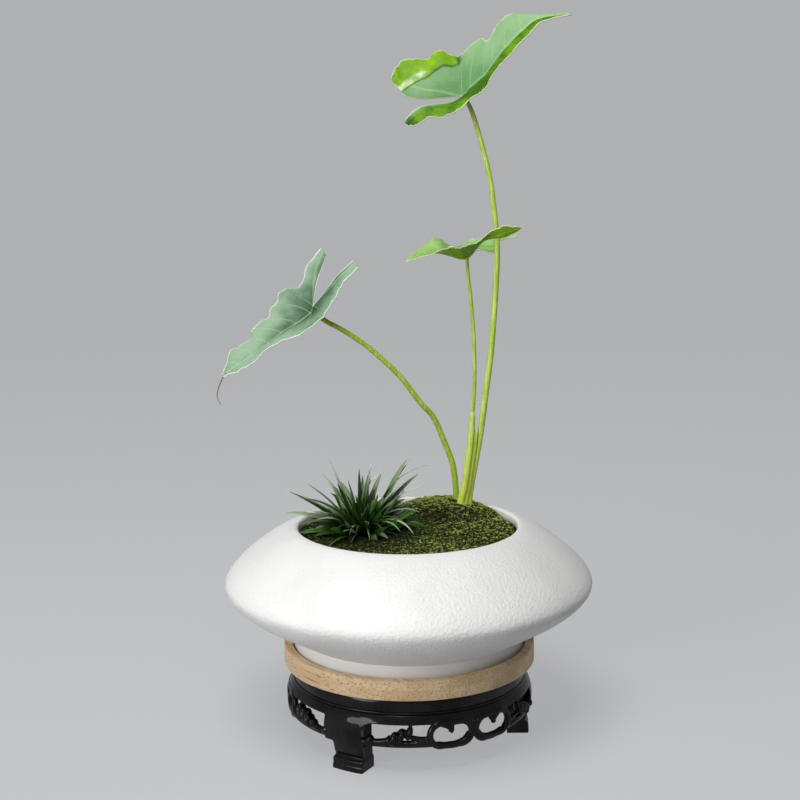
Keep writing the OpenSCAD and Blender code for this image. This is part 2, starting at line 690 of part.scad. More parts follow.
function blade_point(i, along, aside, up) =
    let (share = sqrt((i + 0.5) / blade_count),
        lean = blend(middle_lean, edge_lean, share),
        length = blade_l * (1 - blade_vary + blade_vary * sin(i * blade_shuffle)),
        curve = length * 180 / (PI * blade_bend),
        bend = blade_bend * along,
        out = (crown_d / 2 - blade_w) * share + curve * (cos(lean) - cos(lean + bend))
            - up * cos(lean + bend),
        rise = curve * (sin(lean + bend) - sin(lean)) + (along > 0 ? up * sin(lean + bend) : 0),
        turn = i * golden_turn)
    [crown_at[0] + out * cos(turn) - aside * sin(turn),
        crown_at[1] + out * sin(turn) + aside * cos(turn),
        crown_top_z + rise];

function blade_ring(i, s) = let (along = s / blade_steps, w = blade_w / 2 * (1 + blade_tip - along * along))
    [blade_point(i, along, -w, 0), blade_point(i, along, w, 0), blade_point(i, along, 0, blade_t)];

module grass_blades() {
    rings = blade_steps + 1;
    color("#3f5f2a") polyhedron(
        points = [for (i = [0 : blade_count - 1]) for (s = [0 : blade_steps]) each blade_ring(i, s)],
        faces = [for (i = [0 : blade_count - 1]) let (first = 3 * rings * i, last = first + 3 * blade_steps)
            each concat(
                [[first, first + 1, first + 2], [last + 2, last + 1, last]],
                [for (s = [0 : blade_steps - 1]) for (c = [0 : 2])
                    let (a = first + 3 * s + c, b = first + 3 * s + (c + 1) % 3)
                    each [[a, a + 3, b + 3], [a, b + 3, b]]])]);
}

stand_panel();
stand_rim(1);  // stand_rim_1
stand_rim(2);  // stand_rim_2
stand_rim(3);  // stand_rim_3
stand_leg(1);  // stand_leg_1
stand_leg(2);  // stand_leg_2
stand_leg(3);  // stand_leg_3
stand_apron(1);  // stand_apron_1
stand_apron(2);  // stand_apron_2
stand_apron(3);  // stand_apron_3
leg_dowels();
apron_dowels();
tray_floor_strips();
tray_rim_strips();
pot();
drain_net();
root_ball();
moss();
stem_base();
tall_stalk();
tall_leaf();
leaf_sheath();
short_stalk();
short_leaf();
bent_stalk();
bent_leaf();
grass_crown();
grass_blades();
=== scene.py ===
import random
from contextlib import contextmanager
from math import asin, atan2, ceil, cos, degrees, hypot, pi, radians, sin, sqrt

import bpy
from mathutils import Matrix, Vector, noise


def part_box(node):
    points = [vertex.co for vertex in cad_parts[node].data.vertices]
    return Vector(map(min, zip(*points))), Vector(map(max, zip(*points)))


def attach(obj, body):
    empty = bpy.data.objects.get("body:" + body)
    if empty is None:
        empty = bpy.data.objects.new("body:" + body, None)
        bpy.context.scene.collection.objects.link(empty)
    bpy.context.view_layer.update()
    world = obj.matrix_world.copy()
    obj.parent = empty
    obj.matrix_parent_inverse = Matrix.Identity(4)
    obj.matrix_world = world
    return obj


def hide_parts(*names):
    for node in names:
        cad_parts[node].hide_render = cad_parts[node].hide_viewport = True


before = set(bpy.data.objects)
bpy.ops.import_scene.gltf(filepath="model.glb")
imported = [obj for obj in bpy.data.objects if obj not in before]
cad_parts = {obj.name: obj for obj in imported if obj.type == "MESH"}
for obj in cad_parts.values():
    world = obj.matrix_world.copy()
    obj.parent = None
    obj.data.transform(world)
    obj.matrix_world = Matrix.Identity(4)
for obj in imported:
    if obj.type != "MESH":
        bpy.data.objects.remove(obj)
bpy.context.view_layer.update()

MM = 0.001
SAME_PLACE = 0.001 * MM
GOLDEN_TURN = radians(137.508)
chance = random.Random(7)

# Levels and sizes, taken from the frame
POT_LOW, POT_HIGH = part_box("pot")
POT_R = POT_HIGH.x
POT_Z = POT_LOW.z
LIP_Z = POT_HIGH.z
TRAY_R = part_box("tray_floor_strips")[1].x
TRAY_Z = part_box("tray_floor_strips")[0].z
TRAY_FLOOR_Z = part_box("tray_floor_strips")[1].z
TRAY_TOP_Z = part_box("tray_rim_strips")[1].z
RIM_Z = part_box("stand_rim_1")[0].z
MOSS_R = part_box("moss")[1].x
MOSS_FOOT_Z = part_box("moss")[0].z
STEM = Vector([*[sum(c) / 2 for c in zip(*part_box("stem_base"))][:2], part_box("stem_base")[1].z])
CROWN = Vector([*[sum(c) / 2 for c in zip(*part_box("grass_crown"))][:2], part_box("grass_crown")[1].z])


# Bench: the few hand moves that every piece is made with

def take(piece):
    """Select one piece and nothing else."""
    bpy.ops.object.select_all(action="DESELECT")
    piece.select_set(True)
    bpy.context.view_layer.objects.active = piece


def placed(name, data):
    """A new piece in the scene."""
    piece = bpy.data.objects.new(name, data)
    bpy.context.scene.collection.objects.link(piece)
    return piece


def sand(piece, degrees):
    """Shade a piece smooth, with edges sharper than an angle kept crisp."""
    take(piece)
    bpy.ops.object.shade_smooth_by_angle(angle=radians(degrees))


@contextmanager
def on_the_bench(piece):
    """Edit mode on one piece, with all of it selected."""
    take(piece)
    bpy.ops.object.mode_set(mode="EDIT")
    bpy.ops.mesh.select_all(action="SELECT")
    yield
    bpy.ops.object.mode_set(mode="OBJECT")


def work(piece, kind, **settings):
    """Add a modifier and apply it at once."""
    take(piece)
    step = piece.modifiers.new(kind, kind)
    for name, value in settings.items():
        setattr(step, name, value)
    bpy.ops.object.modifier_apply(modifier=step.name)


def glue(pieces):
    """Join loose pieces into the first of them."""
    take(pieces[0])
    for piece in pieces[1:]:
        piece.select_set(True)
    bpy.ops.object.join()
    return pieces[0]


def copy_of(node):
    """A loose copy of a CAD piece, to be worked further."""
    piece = placed(node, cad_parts[node].data.copy())
    with on_the_bench(piece):
        bpy.ops.mesh.remove_doubles(threshold=SAME_PLACE)
    return piece


def sheet(name, corners, faces):
    """A thin piece laid out from corners and faces."""
    mesh = bpy.data.meshes.new(name)
    mesh.from_pydata(corners, [], faces)
    return placed(name, mesh)


def turned(outline, steps=160, start=0.0, sweep=2 * pi):
    """A piece turned on the lathe from a closed outline of (radius, height)."""
    bpy.ops.object.select_all(action="DESELECT")
    bpy.ops.mesh.primitive_circle_add(vertices=len(outline), fill_type="NOTHING")
    piece = bpy.context.object
    for corner, (radius, height) in zip(piece.data.vertices, outline):
        corner.co = (radius * cos(start), radius * sin(start), height)
    with on_the_bench(piece):
        bpy.ops.mesh.spin(steps=steps, angle=sweep, center=(0, 0, 0), axis=(0, 0, 1))
        bpy.ops.mesh.select_all(action="SELECT")
        bpy.ops.mesh.remove_doubles(threshold=SAME_PLACE)
        if sweep < 2 * pi:
            bpy.ops.mesh.fill_holes(sides=0)
        bpy.ops.mesh.select_all(action="SELECT")
        bpy.ops.mesh.normals_make_consistent(inside=False)
    sand(piece, 40)
    return piece


def cut_out(blank, *cuts):
    """A copy of a blank, sawn off at each cut, which is a place and the way to the side that stays."""
    piece = placed("cut", blank.data.copy())
    with on_the_bench(piece):
        for place, way in cuts:
            bpy.ops.mesh.select_all(action="SELECT")
            bpy.ops.mesh.bisect(plane_co=place, plane_no=way, use_fill=True, clear_inner=True)
    return piece


def bezier(a, b, c, d, steps):
    """Points of one bend from a to d, drawn by b and c."""
    a, b, c, d = (Vector(p) for p in (a, b, c, d))
    for i in range(steps + 1):
        t = i / steps
        yield a * (1 - t) ** 3 + b * 3 * t * (1 - t) ** 2 + c * 3 * t * t * (1 - t) + d * t ** 3


def smooth_at(points, u):
    """The place at share u of a smooth line through the points."""
    last = len(points) - 1
    k = min(int(u * last), last - 1)
    t = u * last - k
    a, b, c, d = (points[min(max(k + i, 0), last)] for i in (-1, 0, 1, 2))
    return 0.5 * (2 * b + (c - a) * t + (2 * a - 5 * b + 4 * c - d) * t * t
                  + (3 * b - a - 3 * c + d) * t ** 3)


def smooth_line(points, steps):
    """Evenly spaced places on a smooth line through the points."""
    return [smooth_at(points, i / steps) for i in range(steps + 1)]


def rod(places, thickness, sides=6):
    """A round rod along places, with a radius at each of them."""
    bpy.ops.object.select_all(action="DESELECT")
    bpy.ops.curve.primitive_nurbs_path_add()
    piece = bpy.context.object
    piece.data.splines.clear()
    line = piece.data.splines.new("POLY")
    line.points.add(len(places) - 1)
    for point, place, radius in zip(line.points, places, thickness):
        point.co = (*place, 1)
        point.radius = radius
    piece.data.bevel_depth = 1
    piece.data.bevel_resolution = sides
    piece.data.use_fill_caps = True
    bpy.ops.object.convert(target="MESH")
    bpy.ops.object.shade_smooth()
    return bpy.context.object


def twig(points, from_r, to_r, steps=24, sides=6):
    """A round strand on a smooth line through points, from one radius to another, both in mm."""
    radii = [(from_r + (to_r - from_r) * i / steps) * MM for i in range(steps + 1)]
    return rod(smooth_line(points, steps), radii, sides)


def hand_over(piece, name, body, slot, finishes, *nodes):
    """Name a finished piece, give it its finish and let it move with its body."""
    piece.name = piece.data.name = name
    finishes = finishes if isinstance(finishes, tuple) else (finishes,)
    if tuple(piece.data.materials) != finishes:
        piece.data.materials.clear()
        for finish in finishes:
            piece.data.materials.append(finish)
    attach(piece, body)
    if nodes:
        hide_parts(*nodes)


def repaint(node, finish):
    """Give a CAD piece that stays as it is a finish of its own."""
    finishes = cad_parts[node].data.materials
    finishes.clear()
    finishes.append(finish)


# Finishes: node trees written as formulas

def sums(operation, swapped=False):
    """One of a wire's sums, as a method."""
    def method(wire, other):
        first, second = (other, wire) if swapped else (wire, other)
        return wire.finish.add("Math", {"operation": operation}, {0: first, 1: second})
    return method


class Wire:
    """A socket that takes part in sums, so that a finish reads like a formula."""

    def __init__(self, finish, socket):
        self.finish = finish
        self.socket = socket

    __add__, __radd__ = sums("ADD"), sums("ADD", swapped=True)
    __sub__, __rsub__ = sums("SUBTRACT"), sums("SUBTRACT", swapped=True)
    __mul__, __truediv__, __pow__ = sums("MULTIPLY"), sums("DIVIDE"), sums("POWER")


class Finish:
    """A material's node tree, which ends in one shader."""

    def __init__(self, name, **constants):
        self.material = bpy.data.materials.new(name)
        self.material.use_nodes = True
        self.tree = self.material.node_tree
        self.shader = self.tree.nodes["Principled BSDF"]
        for socket, value in constants.items():
            self.shader.inputs[socket.replace("_", " ")].default_value = value

    def plug(self, socket, value):
        if isinstance(value, Wire):
            self.tree.links.new(value.socket, socket)
        else:
            socket.default_value = value

    def add(self, kind, settings, inputs, output=0):
        """Any node: its type, its settings, and the values or links of its sockets."""
        node = self.tree.nodes.new("ShaderNode" + kind)
        for name, value in settings.items():
            if name == "stops":
                ramp = node.color_ramp.elements
                while len(ramp) < len(value):
                    ramp.new(0.5)
                for stop, (place, colour) in zip(ramp, value):
                    stop.position = place
                    stop.color = colour
            else:
                setattr(node, name, value)
        for socket, value in inputs.items():
            self.plug(node.inputs[socket], value)
        return Wire(self, node.outputs[output])

    def wear(self, **sockets):
        """Plug what varies over the surface into the shader."""
        for socket, value in sockets.items():
            self.plug(self.shader.inputs[socket.replace("_", " ")], value)
        return self.material

    def place(self, **mapping):
        """Object coordinates in metres, turned or stretched if asked."""
        spot = self.add("TexCoord", {}, {}, output="Object")
        if mapping:
            spot = self.add("Mapping", {}, {"Vector": spot, **mapping})
        return spot

    def axis(self, spot, which):
        return self.add("SeparateXYZ", {}, {"Vector": spot}, output="XYZ".index(which))

    def noise(self, spot, scale, detail=2.0, roughness=0.5, distortion=0.0):
        return self.add("TexNoise", {}, {"Vector": spot, "Scale": scale, "Detail": detail,
                                         "Roughness": roughness, "Distortion": distortion})

    def cells(self, spot, scale, feature="F1", output="Distance"):
        return self.add("TexVoronoi", {"feature": feature}, {"Vector": spot, "Scale": scale}, output=output)

    def rise(self, value, low, high):
        """A smooth step, 0 at low and 1 at high."""
        return self.add("MapRange", {"interpolation_type": "SMOOTHSTEP"},
                        {"Value": value, "From Min": low, "From Max": high})

    def mix(self, share, a, b):
        """Colour a, with a share of colour b over it; each is a wire or the levels of a paint."""
        a, b = (c if isinstance(c, Wire) else paint(*c) for c in (a, b))
        return self.add("Mix", {"data_type": "RGBA"}, {0: share, 6: a, 7: b}, output=2)

    def ramp(self, value, *stops):
        return self.add("ValToRGB", {"stops": stops}, {"Fac": value})

    def own(self, name):
        """A value that the piece carries on its own mesh."""
        return self.add("Attribute", {"attribute_name": name}, {}, output="Fac")

    def bump(self, height, distance, strength=1.0):
        return self.add("Bump", {}, {"Height": height, "Distance": distance, "Strength": strength})


def paint(red, green, blue):
    """A colour as seen, 0 to 255, as the light it sends back."""
    def light(level):
        level /= 255
        return level / 12.92 if level <= 0.04045 else ((level + 0.055) / 1.055) ** 2.4
    return (light(red), light(green), light(blue), 1.0)


def white_glaze():
    f = Finish("white_glaze", IOR=1.5)
    spot = f.place()
    above_foot = f.rise(f.axis(spot, "Z"), POT_Z + 14 * MM, POT_Z + 19 * MM)
    pebbles = f.cells(spot, 560, feature="SMOOTH_F1")
    creases = f.noise(spot, 620, detail=3, roughness=0.6, distortion=0.8)
    swell = f.noise(spot, 60)
    grain = (pebbles * 0.8 + creases * 0.6) * above_foot + swell * 0.35
    cloud = f.noise(spot, 22, detail=4)
    white = f.mix(f.rise(cloud, 0.35, 0.7), (238, 238, 236), (232, 231, 228))
    pores = f.rise(f.noise(spot, 1400, detail=1), 0.66, 0.72) * above_foot
    return f.wear(Base_Color=f.mix(pores * 0.18, white, (190, 186, 178)),
                  Roughness=0.42 + cloud * 0.16,
                  Normal=f.bump(grain, 0.48 * MM))


def bamboo(name, shift):
    """Strips along the tray's grain: streaks on the long sides, fibre dots on the sawn ends."""
    f = Finish(name, IOR=1.5)
    along = f.place(Rotation=(0, 0, -STRIP_TURN))
    across = f.axis(along, "Y")
    strip = f.add("Math", {"operation": "FLOOR"}, {0: (across - shift) / STRIP_W})
    tone = f.add("TexWhiteNoise", {"noise_dimensions": "1D"}, {"W": strip * 1.7 + shift * 900 + 3.1})
    drawn = f.add("Mapping", {}, {"Vector": along, "Scale": (0.03, 1, 1)})
    streaks = f.noise(drawn, 800, detail=3, roughness=0.65)
    broad = f.noise(drawn, 150)
    fibres = f.rise(f.cells(drawn, 760), 0.36, 0.16)
    banded = f.add("Mapping", {}, {"Vector": along, "Scale": (1, 0.02, 0.02)})
    knots = f.rise(f.noise(banded, 30), 0.70, 0.76)
    body = f.mix(tone * 0.9, (244, 218, 178), (222, 188, 142))
    body = f.mix(f.rise(broad, 0.35, 0.7) * 0.4, body, (210, 170, 118))
    body = f.mix(f.rise(streaks, 0.48, 0.74) * 0.5, body, (178, 134, 84))
    body = f.mix(fibres * 0.7, body, (138, 94, 52))
    body = f.mix(knots * 0.4, body, (138, 100, 60))
    return f.wear(Base_Color=body, Roughness=0.46 + streaks * 0.14,
                  Normal=f.bump(streaks + fibres * 0.5, 0.05 * MM, 0.6))


def dark_wood():
    f = Finish("dark_wood", IOR=1.45, Specular_IOR_Level=0.07, Coat_Roughness=0.07, Coat_IOR=1.5)
    spot = f.place()
    drawn = f.place(Scale=(1, 1, 0.16))
    grain = f.noise(drawn, 420, detail=4, roughness=0.65, distortion=0.4)
    cloud = f.noise(spot, 45, detail=3)
    body = f.mix(f.rise(grain, 0.4, 0.75), (9, 7, 7), (24, 17, 16))
    return f.wear(Base_Color=body, Roughness=0.3 + cloud * 0.2,
                  Coat_Weight=0.2 + f.rise(cloud, 0.3, 0.7) * 0.25,
                  Normal=f.bump(grain + cloud * 0.6, 0.08 * MM, 0.5))


def moss_green():
    f = Finish("moss_green", IOR=1.4, Specular_IOR_Level=0.15)
    spot = f.place()
    patch = f.noise(spot, 60, detail=3, roughness=0.6)
    fine = f.noise(spot, 800, detail=1)
    tip, tone = f.own("tip"), f.own("tone")
    # The tone holds each sprig's own brightness, with painted shade round the grass and painted light at
    # the back
    green = f.ramp(patch * 0.5 + tone * 0.6, (0.22, paint(15, 20, 7)), (0.42, paint(32, 44, 12)),
                   (0.6, paint(80, 102, 26)), (0.82, paint(194, 208, 98)))
    deep = f.mix(f.rise(patch, 0.4, 0.6), (11, 13, 5), (25, 23, 11))
    body = f.mix(f.rise(tip, 0.1, 0.9), deep, green)
    body = f.mix(f.rise(fine, 0.5, 0.62) * f.rise(tone, 0.1, 0.6) * tip * 0.8, body, (208, 220, 134))
    return f.wear(Base_Color=body, Roughness=0.6 + fine * 0.3)


def potting_mix():
    f = Finish("potting_mix", IOR=1.4)
    spot = f.place()
    crumbs = f.cells(spot, 260)
    shade = f.cells(spot, 260, output="Color")
    fine = f.noise(spot, 700, detail=3)
    body = f.mix(f.rise(f.axis(shade, "X"), 0.2, 0.9), (58, 44, 33), (96, 74, 54))
    body = f.mix(f.rise(fine, 0.62, 0.7) * 0.5, body, (150, 132, 104))
    return f.wear(Base_Color=body, Roughness=0.75 + fine * 0.2,
                  Normal=f.bump(crumbs + fine * 0.3, 0.8 * MM))


def stalk_green(name, body, edge, foot):
    """Along a stalk: paler at its foot, partly its own colour and partly painted light against the shade
    near the moss, with fine ribs round it.
    """
    f = Finish(name, IOR=1.45)
    spot = f.place()
    ribs = f.noise(f.place(Scale=(1, 1, 0.05)), 900)
    mottle = f.noise(spot, 120, detail=3)
    low = f.rise(f.axis(spot, "Z"), LIP_Z + 70 * MM, LIP_Z)
    # Paler foot: partly the stalk's own colour and partly painted light that lifts the shade near the moss
    green = f.mix(low, body, foot)
    green = f.mix(f.rise(ribs, 0.46, 0.62) * 0.75, green, edge)
    green = f.mix(f.rise(mottle, 0.55, 0.8) * 0.25, green, (104, 134, 30))
    return f.wear(Base_Color=green, Roughness=0.38 + mottle * 0.2,
                  Normal=f.bump(ribs, 0.12 * MM, 0.6))


def leaf_green(name, base, blade, deep, vein, edge):
    """A leaf's face: cloudy waxy green, paler veins, a pale thin margin and young yellow-green folds,
    brightened by painted light where the young value nears 1, and a painted sheen above 1.
    """
    f = Finish(name, IOR=1.45, Specular_IOR_Level=0.16, Subsurface_Weight=0.1, Subsurface_Scale=1.5 * MM)
    spot = f.place()
    cloud = f.noise(spot, 70, detail=4, roughness=0.6)
    along, across, wide = f.own("along"), f.own("across"), f.own("wide")
    inner, outer = across * wide, (1 - across) * wide
    ahead = f.rise(along, base - 0.1, base + 0.1)
    margin = f.rise(outer, 1.0, 0.3)
    midrib = f.rise(inner, 1.3, 0.4) * ahead
    sinus = f.rise(inner, 0.9, 0.3) * (1 - ahead)
    off_vein = f.add("Math", {"operation": "PINGPONG"}, {0: along - across ** 1.25 * 0.9, 1: 0.5})
    side = f.rise(off_vein, 0.07, 0.01) * ahead * f.rise(across, 1.0, 0.4)
    off_lobe = f.add("Math", {"operation": "ABSOLUTE"}, {0: across - (1 - along / base) * 0.5})
    lobe = f.rise(off_lobe * wide, 1.3, 0.3) * (1 - ahead)
    veins = midrib + side * 0.7 + lobe * 0.8
    edges = margin + sinus
    net = f.rise(f.cells(spot, 380, feature="DISTANCE_TO_EDGE"), 0.12, 0.02)
    from_base = f.add("Math", {"operation": "ABSOLUTE"}, {0: along - base - 0.4})
    body = f.mix(f.rise(cloud * 0.5 + across * 0.4 + from_base * 0.09, 0.3, 0.85), deep, blade)
    fresh = f.own("young")
    fold = f.rise(fresh, 0, 0.6)
    full = f.mix(f.rise(cloud, 0.4, 0.65), (46, 92, 0), (98, 148, 6))
    # Painted light: the far lobe's young green is brighter than the near half's, making up for the shade
    # the lobe lies in
    bright = f.mix(f.rise(cloud, 0.4, 0.65), (108, 156, 4), (150, 196, 18))
    body = f.mix(fold, body, f.mix(f.rise(fresh, 0.6, 1), full, bright))
    # Painted sheen: a whitish highlight on the far lobe's fold, where the young value runs above 1
    body = f.mix(f.rise(fresh, 1, 1.8) * f.rise(cloud, 0.3, 0.6), body, (222, 236, 206))
    body = f.mix(net * 0.05, body, vein)
    body = f.mix(veins * (0.4 - fold * 0.3), body, vein)
    body = f.mix(edges * 0.85, body, edge)
    return f.wear(Base_Color=body, Roughness=0.38 + cloud * 0.2,
                  Normal=f.bump(veins * 0.8 + net * 0.15 + cloud * 0.5, 0.3 * MM, 0.6))


def dry_brown():
    f = Finish("dry_brown", IOR=1.45)
    cloud = f.noise(f.place(), 500)
    body = f.mix(cloud, (104, 84, 58), (148, 122, 86))
    return f.wear(Base_Color=body, Roughness=0.6 + cloud * 0.2)


def grass_green():
    f = Finish("grass_green", IOR=1.45, Specular_IOR_Level=0.25)
    tone, along, pale = f.own("tone"), f.own("along"), f.own("pale")
    lines = f.noise(f.place(), 900)
    body = f.mix(tone, (20, 44, 12), (62, 104, 28))
    # Painted shade: each blade darkens towards its foot, so that the heart of the tuft reads as shaded
    body = f.mix(f.rise(along, 0.6, 0.1) * 0.92, body, (9, 16, 5))
    # Pale tips: partly the blades' own pale colour and partly a painted glint
    body = f.mix(f.rise(along, 0.4, 0.9) * pale * 0.9, body, (220, 228, 206))
    return f.wear(Base_Color=body, Roughness=0.24 + lines * 0.2)


def plain_plastic():
    f = Finish("net_plastic", IOR=1.46)
    cloud = f.noise(f.place(), 300, detail=3)
    body = f.mix(cloud, (40, 50, 38), (58, 66, 50))
    return f.wear(Base_Color=body, Roughness=0.5 + cloud * 0.2, Normal=f.bump(cloud, 0.03 * MM))


def dowel_wood():
    f = Finish("dowel_wood", IOR=1.5)
    grain = f.noise(f.place(Scale=(1, 1, 0.1)), 700, detail=3)
    body = f.mix(grain, (198, 160, 112), (160, 120, 78))
    return f.wear(Base_Color=body, Roughness=0.6 + grain * 0.2, Normal=f.bump(grain, 0.05 * MM))


# Pot: one turned wall, from the foot ring over the waist to the lip and back along the inside

POT_H = LIP_Z - POT_Z
WAIST = 50.4 * MM
MOUTH_R = 77.5 * MM
FOOT_R = 82 * MM
FOOT_WALL = 14 * MM
FOOT_RING_W = 8 * MM
FOOT_HOLLOW = 4 * MM
POT_FLOOR = 11 * MM
WALL = 6 * MM
LIP = 2 * MM
DRAIN_R = 7.5 * MM
LIP_REACH = 12 * MM
WAIST_REACH = 12 * MM
INNER_REACH = 9 * MM
FOOT_REACH = 21 * MM
FOOT_RISE = radians(32)
FOOT_EDGE = 1 * MM


def pot_outline():
    rise = FOOT_REACH * Vector((cos(FOOT_RISE), sin(FOOT_RISE)))
    inner_r, inner_floor_r = POT_R - WALL, FOOT_R - WALL
    line = [(FOOT_R - FOOT_RING_W, 0), (FOOT_R - FOOT_EDGE, 0), (FOOT_R - 0.3 * FOOT_EDGE, 0.3 * FOOT_EDGE),
            (FOOT_R, FOOT_EDGE), (FOOT_R, FOOT_WALL - 2 * FOOT_EDGE)]
    line += bezier((FOOT_R, FOOT_WALL), Vector((FOOT_R, FOOT_WALL)) + rise,
                   (POT_R, WAIST - WAIST_REACH), (POT_R, WAIST), 40)
    line += list(bezier((POT_R, WAIST), (POT_R, WAIST + WAIST_REACH),
                        (MOUTH_R + LIP + LIP_REACH, POT_H - FOOT_EDGE), (MOUTH_R + LIP, POT_H), 40))[1:]
    line += [(MOUTH_R + LIP - LIP * sin(a), POT_H - LIP + LIP * cos(a))
             for a in (radians(d) for d in range(15, 91, 15))]
    line += bezier((MOUTH_R, POT_H - WALL), (MOUTH_R + LIP_REACH, POT_H - WALL - FOOT_EDGE),
                   (inner_r, WAIST + INNER_REACH), (inner_r, WAIST), 24)
    line += list(bezier((inner_r, WAIST), (inner_r, WAIST - INNER_REACH),
                        Vector((inner_floor_r, POT_FLOOR)) + rise, (inner_floor_r, POT_FLOOR), 24))[1:]
    line += [(DRAIN_R, POT_FLOOR), (DRAIN_R, FOOT_HOLLOW), (FOOT_R - FOOT_RING_W, FOOT_HOLLOW)]
    return [(r, POT_Z + z) for r, z in line]


def make_pot():
    pot = turned(pot_outline(), steps=192)
    hand_over(pot, "glazed_pot", "pot", "white_glaze", white_glaze(), "pot")


# Tray: two plies of bamboo strips

STRIP_W = 23 * MM
STRIP_TURN = radians(-50)
GLUE = 0.15 * MM
TRAY_CORE = 0.02 * MM
TRAY_ROUND = 1.2 * MM
FOOT_GAP = 1.2 * MM
RECESS_R = FOOT_R + FOOT_GAP


def rounded(centre, start, radius, steps=5):
    """A quarter round about a centre, from a start angle in degrees."""
    for i in range(steps + 1):
        a = radians(start + 90 * i / steps)
        yield (centre[0] + radius * cos(a), centre[1] + radius * sin(a))


def sawn(blank, shift):
    """Saw a turned blank into strips along the grain, with a glue line between them."""
    count = ceil(TRAY_R / STRIP_W) + 1
    side = Vector((-sin(STRIP_TURN), cos(STRIP_TURN), 0))
    strips = []
    for i in range(-count, count + 1):
        low = i * STRIP_W + shift + GLUE / 2
        high = low + STRIP_W - GLUE
        strip = cut_out(blank, (side * low, side), (side * high, -side))
        if strip.data.vertices:
            strips.append(strip)
        else:
            bpy.data.objects.remove(strip)
    bpy.data.objects.remove(blank)
    piece = glue(strips)
    sand(piece, 30)
    return piece


def make_tray():
    low_r = TRAY_R - TRAY_ROUND
    floor_outline = [(TRAY_CORE, TRAY_Z), *rounded((low_r, TRAY_Z + TRAY_ROUND), -90, TRAY_ROUND),
                     (TRAY_R, TRAY_FLOOR_Z), (TRAY_CORE, TRAY_FLOOR_Z)]
    rim_outline = [(RECESS_R, TRAY_FLOOR_Z), (TRAY_R, TRAY_FLOOR_Z),
                   *rounded((low_r, TRAY_TOP_Z - TRAY_ROUND), 0, TRAY_ROUND),
                   *rounded((RECESS_R + TRAY_ROUND, TRAY_TOP_Z - TRAY_ROUND), 90, TRAY_ROUND)]
    floor = sawn(turned(floor_outline), 0)
    hand_over(floor, "tray_floor", "tray", "bamboo", bamboo("bamboo_floor", 0), "tray_floor_strips")
    rim = sawn(turned(rim_outline), STRIP_W / 2)
    hand_over(rim, "tray_rim", "tray", "bamboo", bamboo("bamboo_rim", STRIP_W / 2), "tray_rim_strips")


# Stand: turned rim, and legs and aprons carved on from the CAD pieces with softened edges

BELLY_R = 88 * MM
BELLY_Z = 30 * MM
SHOULDER_IN = 4.5 * MM
ANKLE_IN = 5 * MM
ANKLE_Z = 9.5 * MM
STAND_H = TRAY_Z
RIM_INSET = 0.5 * MM
RIM_TOP_IN = 5 * MM
RIM_R = BELLY_R - SHOULDER_IN - RIM_INSET
RIM_TOP_R = RIM_R - RIM_TOP_IN
RIM_BEAD = 1 * MM
RIM_SWELL = 4.8 * MM
PANEL_SEAT = 60.15 * MM
PANEL_T = 6 * MM
LEDGE_R = 52 * MM
APRON_T = 7 * MM
LEG_W = 21 * MM
LEG_STEP = 120
LEG_TURNS = {1: -120, 2: 0, 3: 120}
APRON_TURNS = {1: -60, 2: 60, 3: 180}
APRON_END = LEG_STEP / 2 - degrees(asin(LEG_W / 2 / BELLY_R))
LEG_SIDE = 90 - LEG_STEP / 2
TONGUE_IN, TONGUE_HALF = 1, 2
TONGUE_STEPS = 10
TONGUE_STEP = 2.3 * MM
CARVED_GRAIN = 0.45 * MM

# Carving of half an apron: degrees from its middle, height and depth behind the belly in mm
BERRIES = ((37.4, 28), (33.9, 30.3), (30.4, 32))
BERRY_SUNK, BERRY_SIZE, BERRY_LEAN = 1, (4, 2.5, 5), 16
BUD_AT, BUD_SIZE, BUD_LEAN = (48.4, 25.4, 2.2), (3.6, 3.1, 3.5), 20
MIDDLE_AT, MIDDLE_SIZE = (31, 2.4), (3.0, 2.6, 6.5)
DOT_BELOW, DOT_OUT = 1.5, 1.8
DOT_W, DOT_DEPTH = 1.7 * MM, 1.8 * MM
SCROLL_AT = 11.1

# Strands of half an apron: their places, and their radius at the start and at the end in mm
END_STRAND = (((APRON_END, 21, 1.8), (APRON_END, 16, 2), (APRON_END - 0.2, 12, 2.3)), 1.6, 1.2)
STRANDS = (
    (((47, 24, 2.4), (43, 25, 1.8), (39, 26, 2), (35, 26, 2.4)), 2.2, 2.4),
    (((31, 29, 2.6), (28, 28, 2.4), (25, 27.2, 2.6), (22.5, 27, 3)), 1.7, 1.6),
    (((SCROLL_AT + 6.5, 22.4, 2.6), (SCROLL_AT + 2, 20.9, 2.4), (SCROLL_AT - 3, 21.2, 2.2),
      (SCROLL_AT - 7, 23.2, 2.2), (SCROLL_AT - 9.5, 27, 2.6)), 2.1, 2.8),
    (((SCROLL_AT + 4, 36, 2.6), (SCROLL_AT + 2, 35, 2), (SCROLL_AT, 32.5, 1.8),
      (SCROLL_AT + 0.6, 30.5, 2.2)), 2.2, 1.7))


def belly_at(height):
    """The belly's radius at a height: one arc above its widest line and one below it."""
    rise, draw = (RIM_Z - BELLY_Z, SHOULDER_IN) if height > BELLY_Z else (BELLY_Z - ANKLE_Z, ANKLE_IN)
    radius = (rise ** 2 + draw ** 2) / (2 * draw)
    return BELLY_R - radius + sqrt(radius ** 2 - (height - BELLY_Z) ** 2)


def on_belly(turn, height, sunk):
    """A place in the carving: degrees round the stand, height and depth behind the belly in mm."""
    reach = belly_at(height * MM) - sunk * MM
    return Vector((reach * cos(radians(turn)), reach * sin(radians(turn)), height * MM))


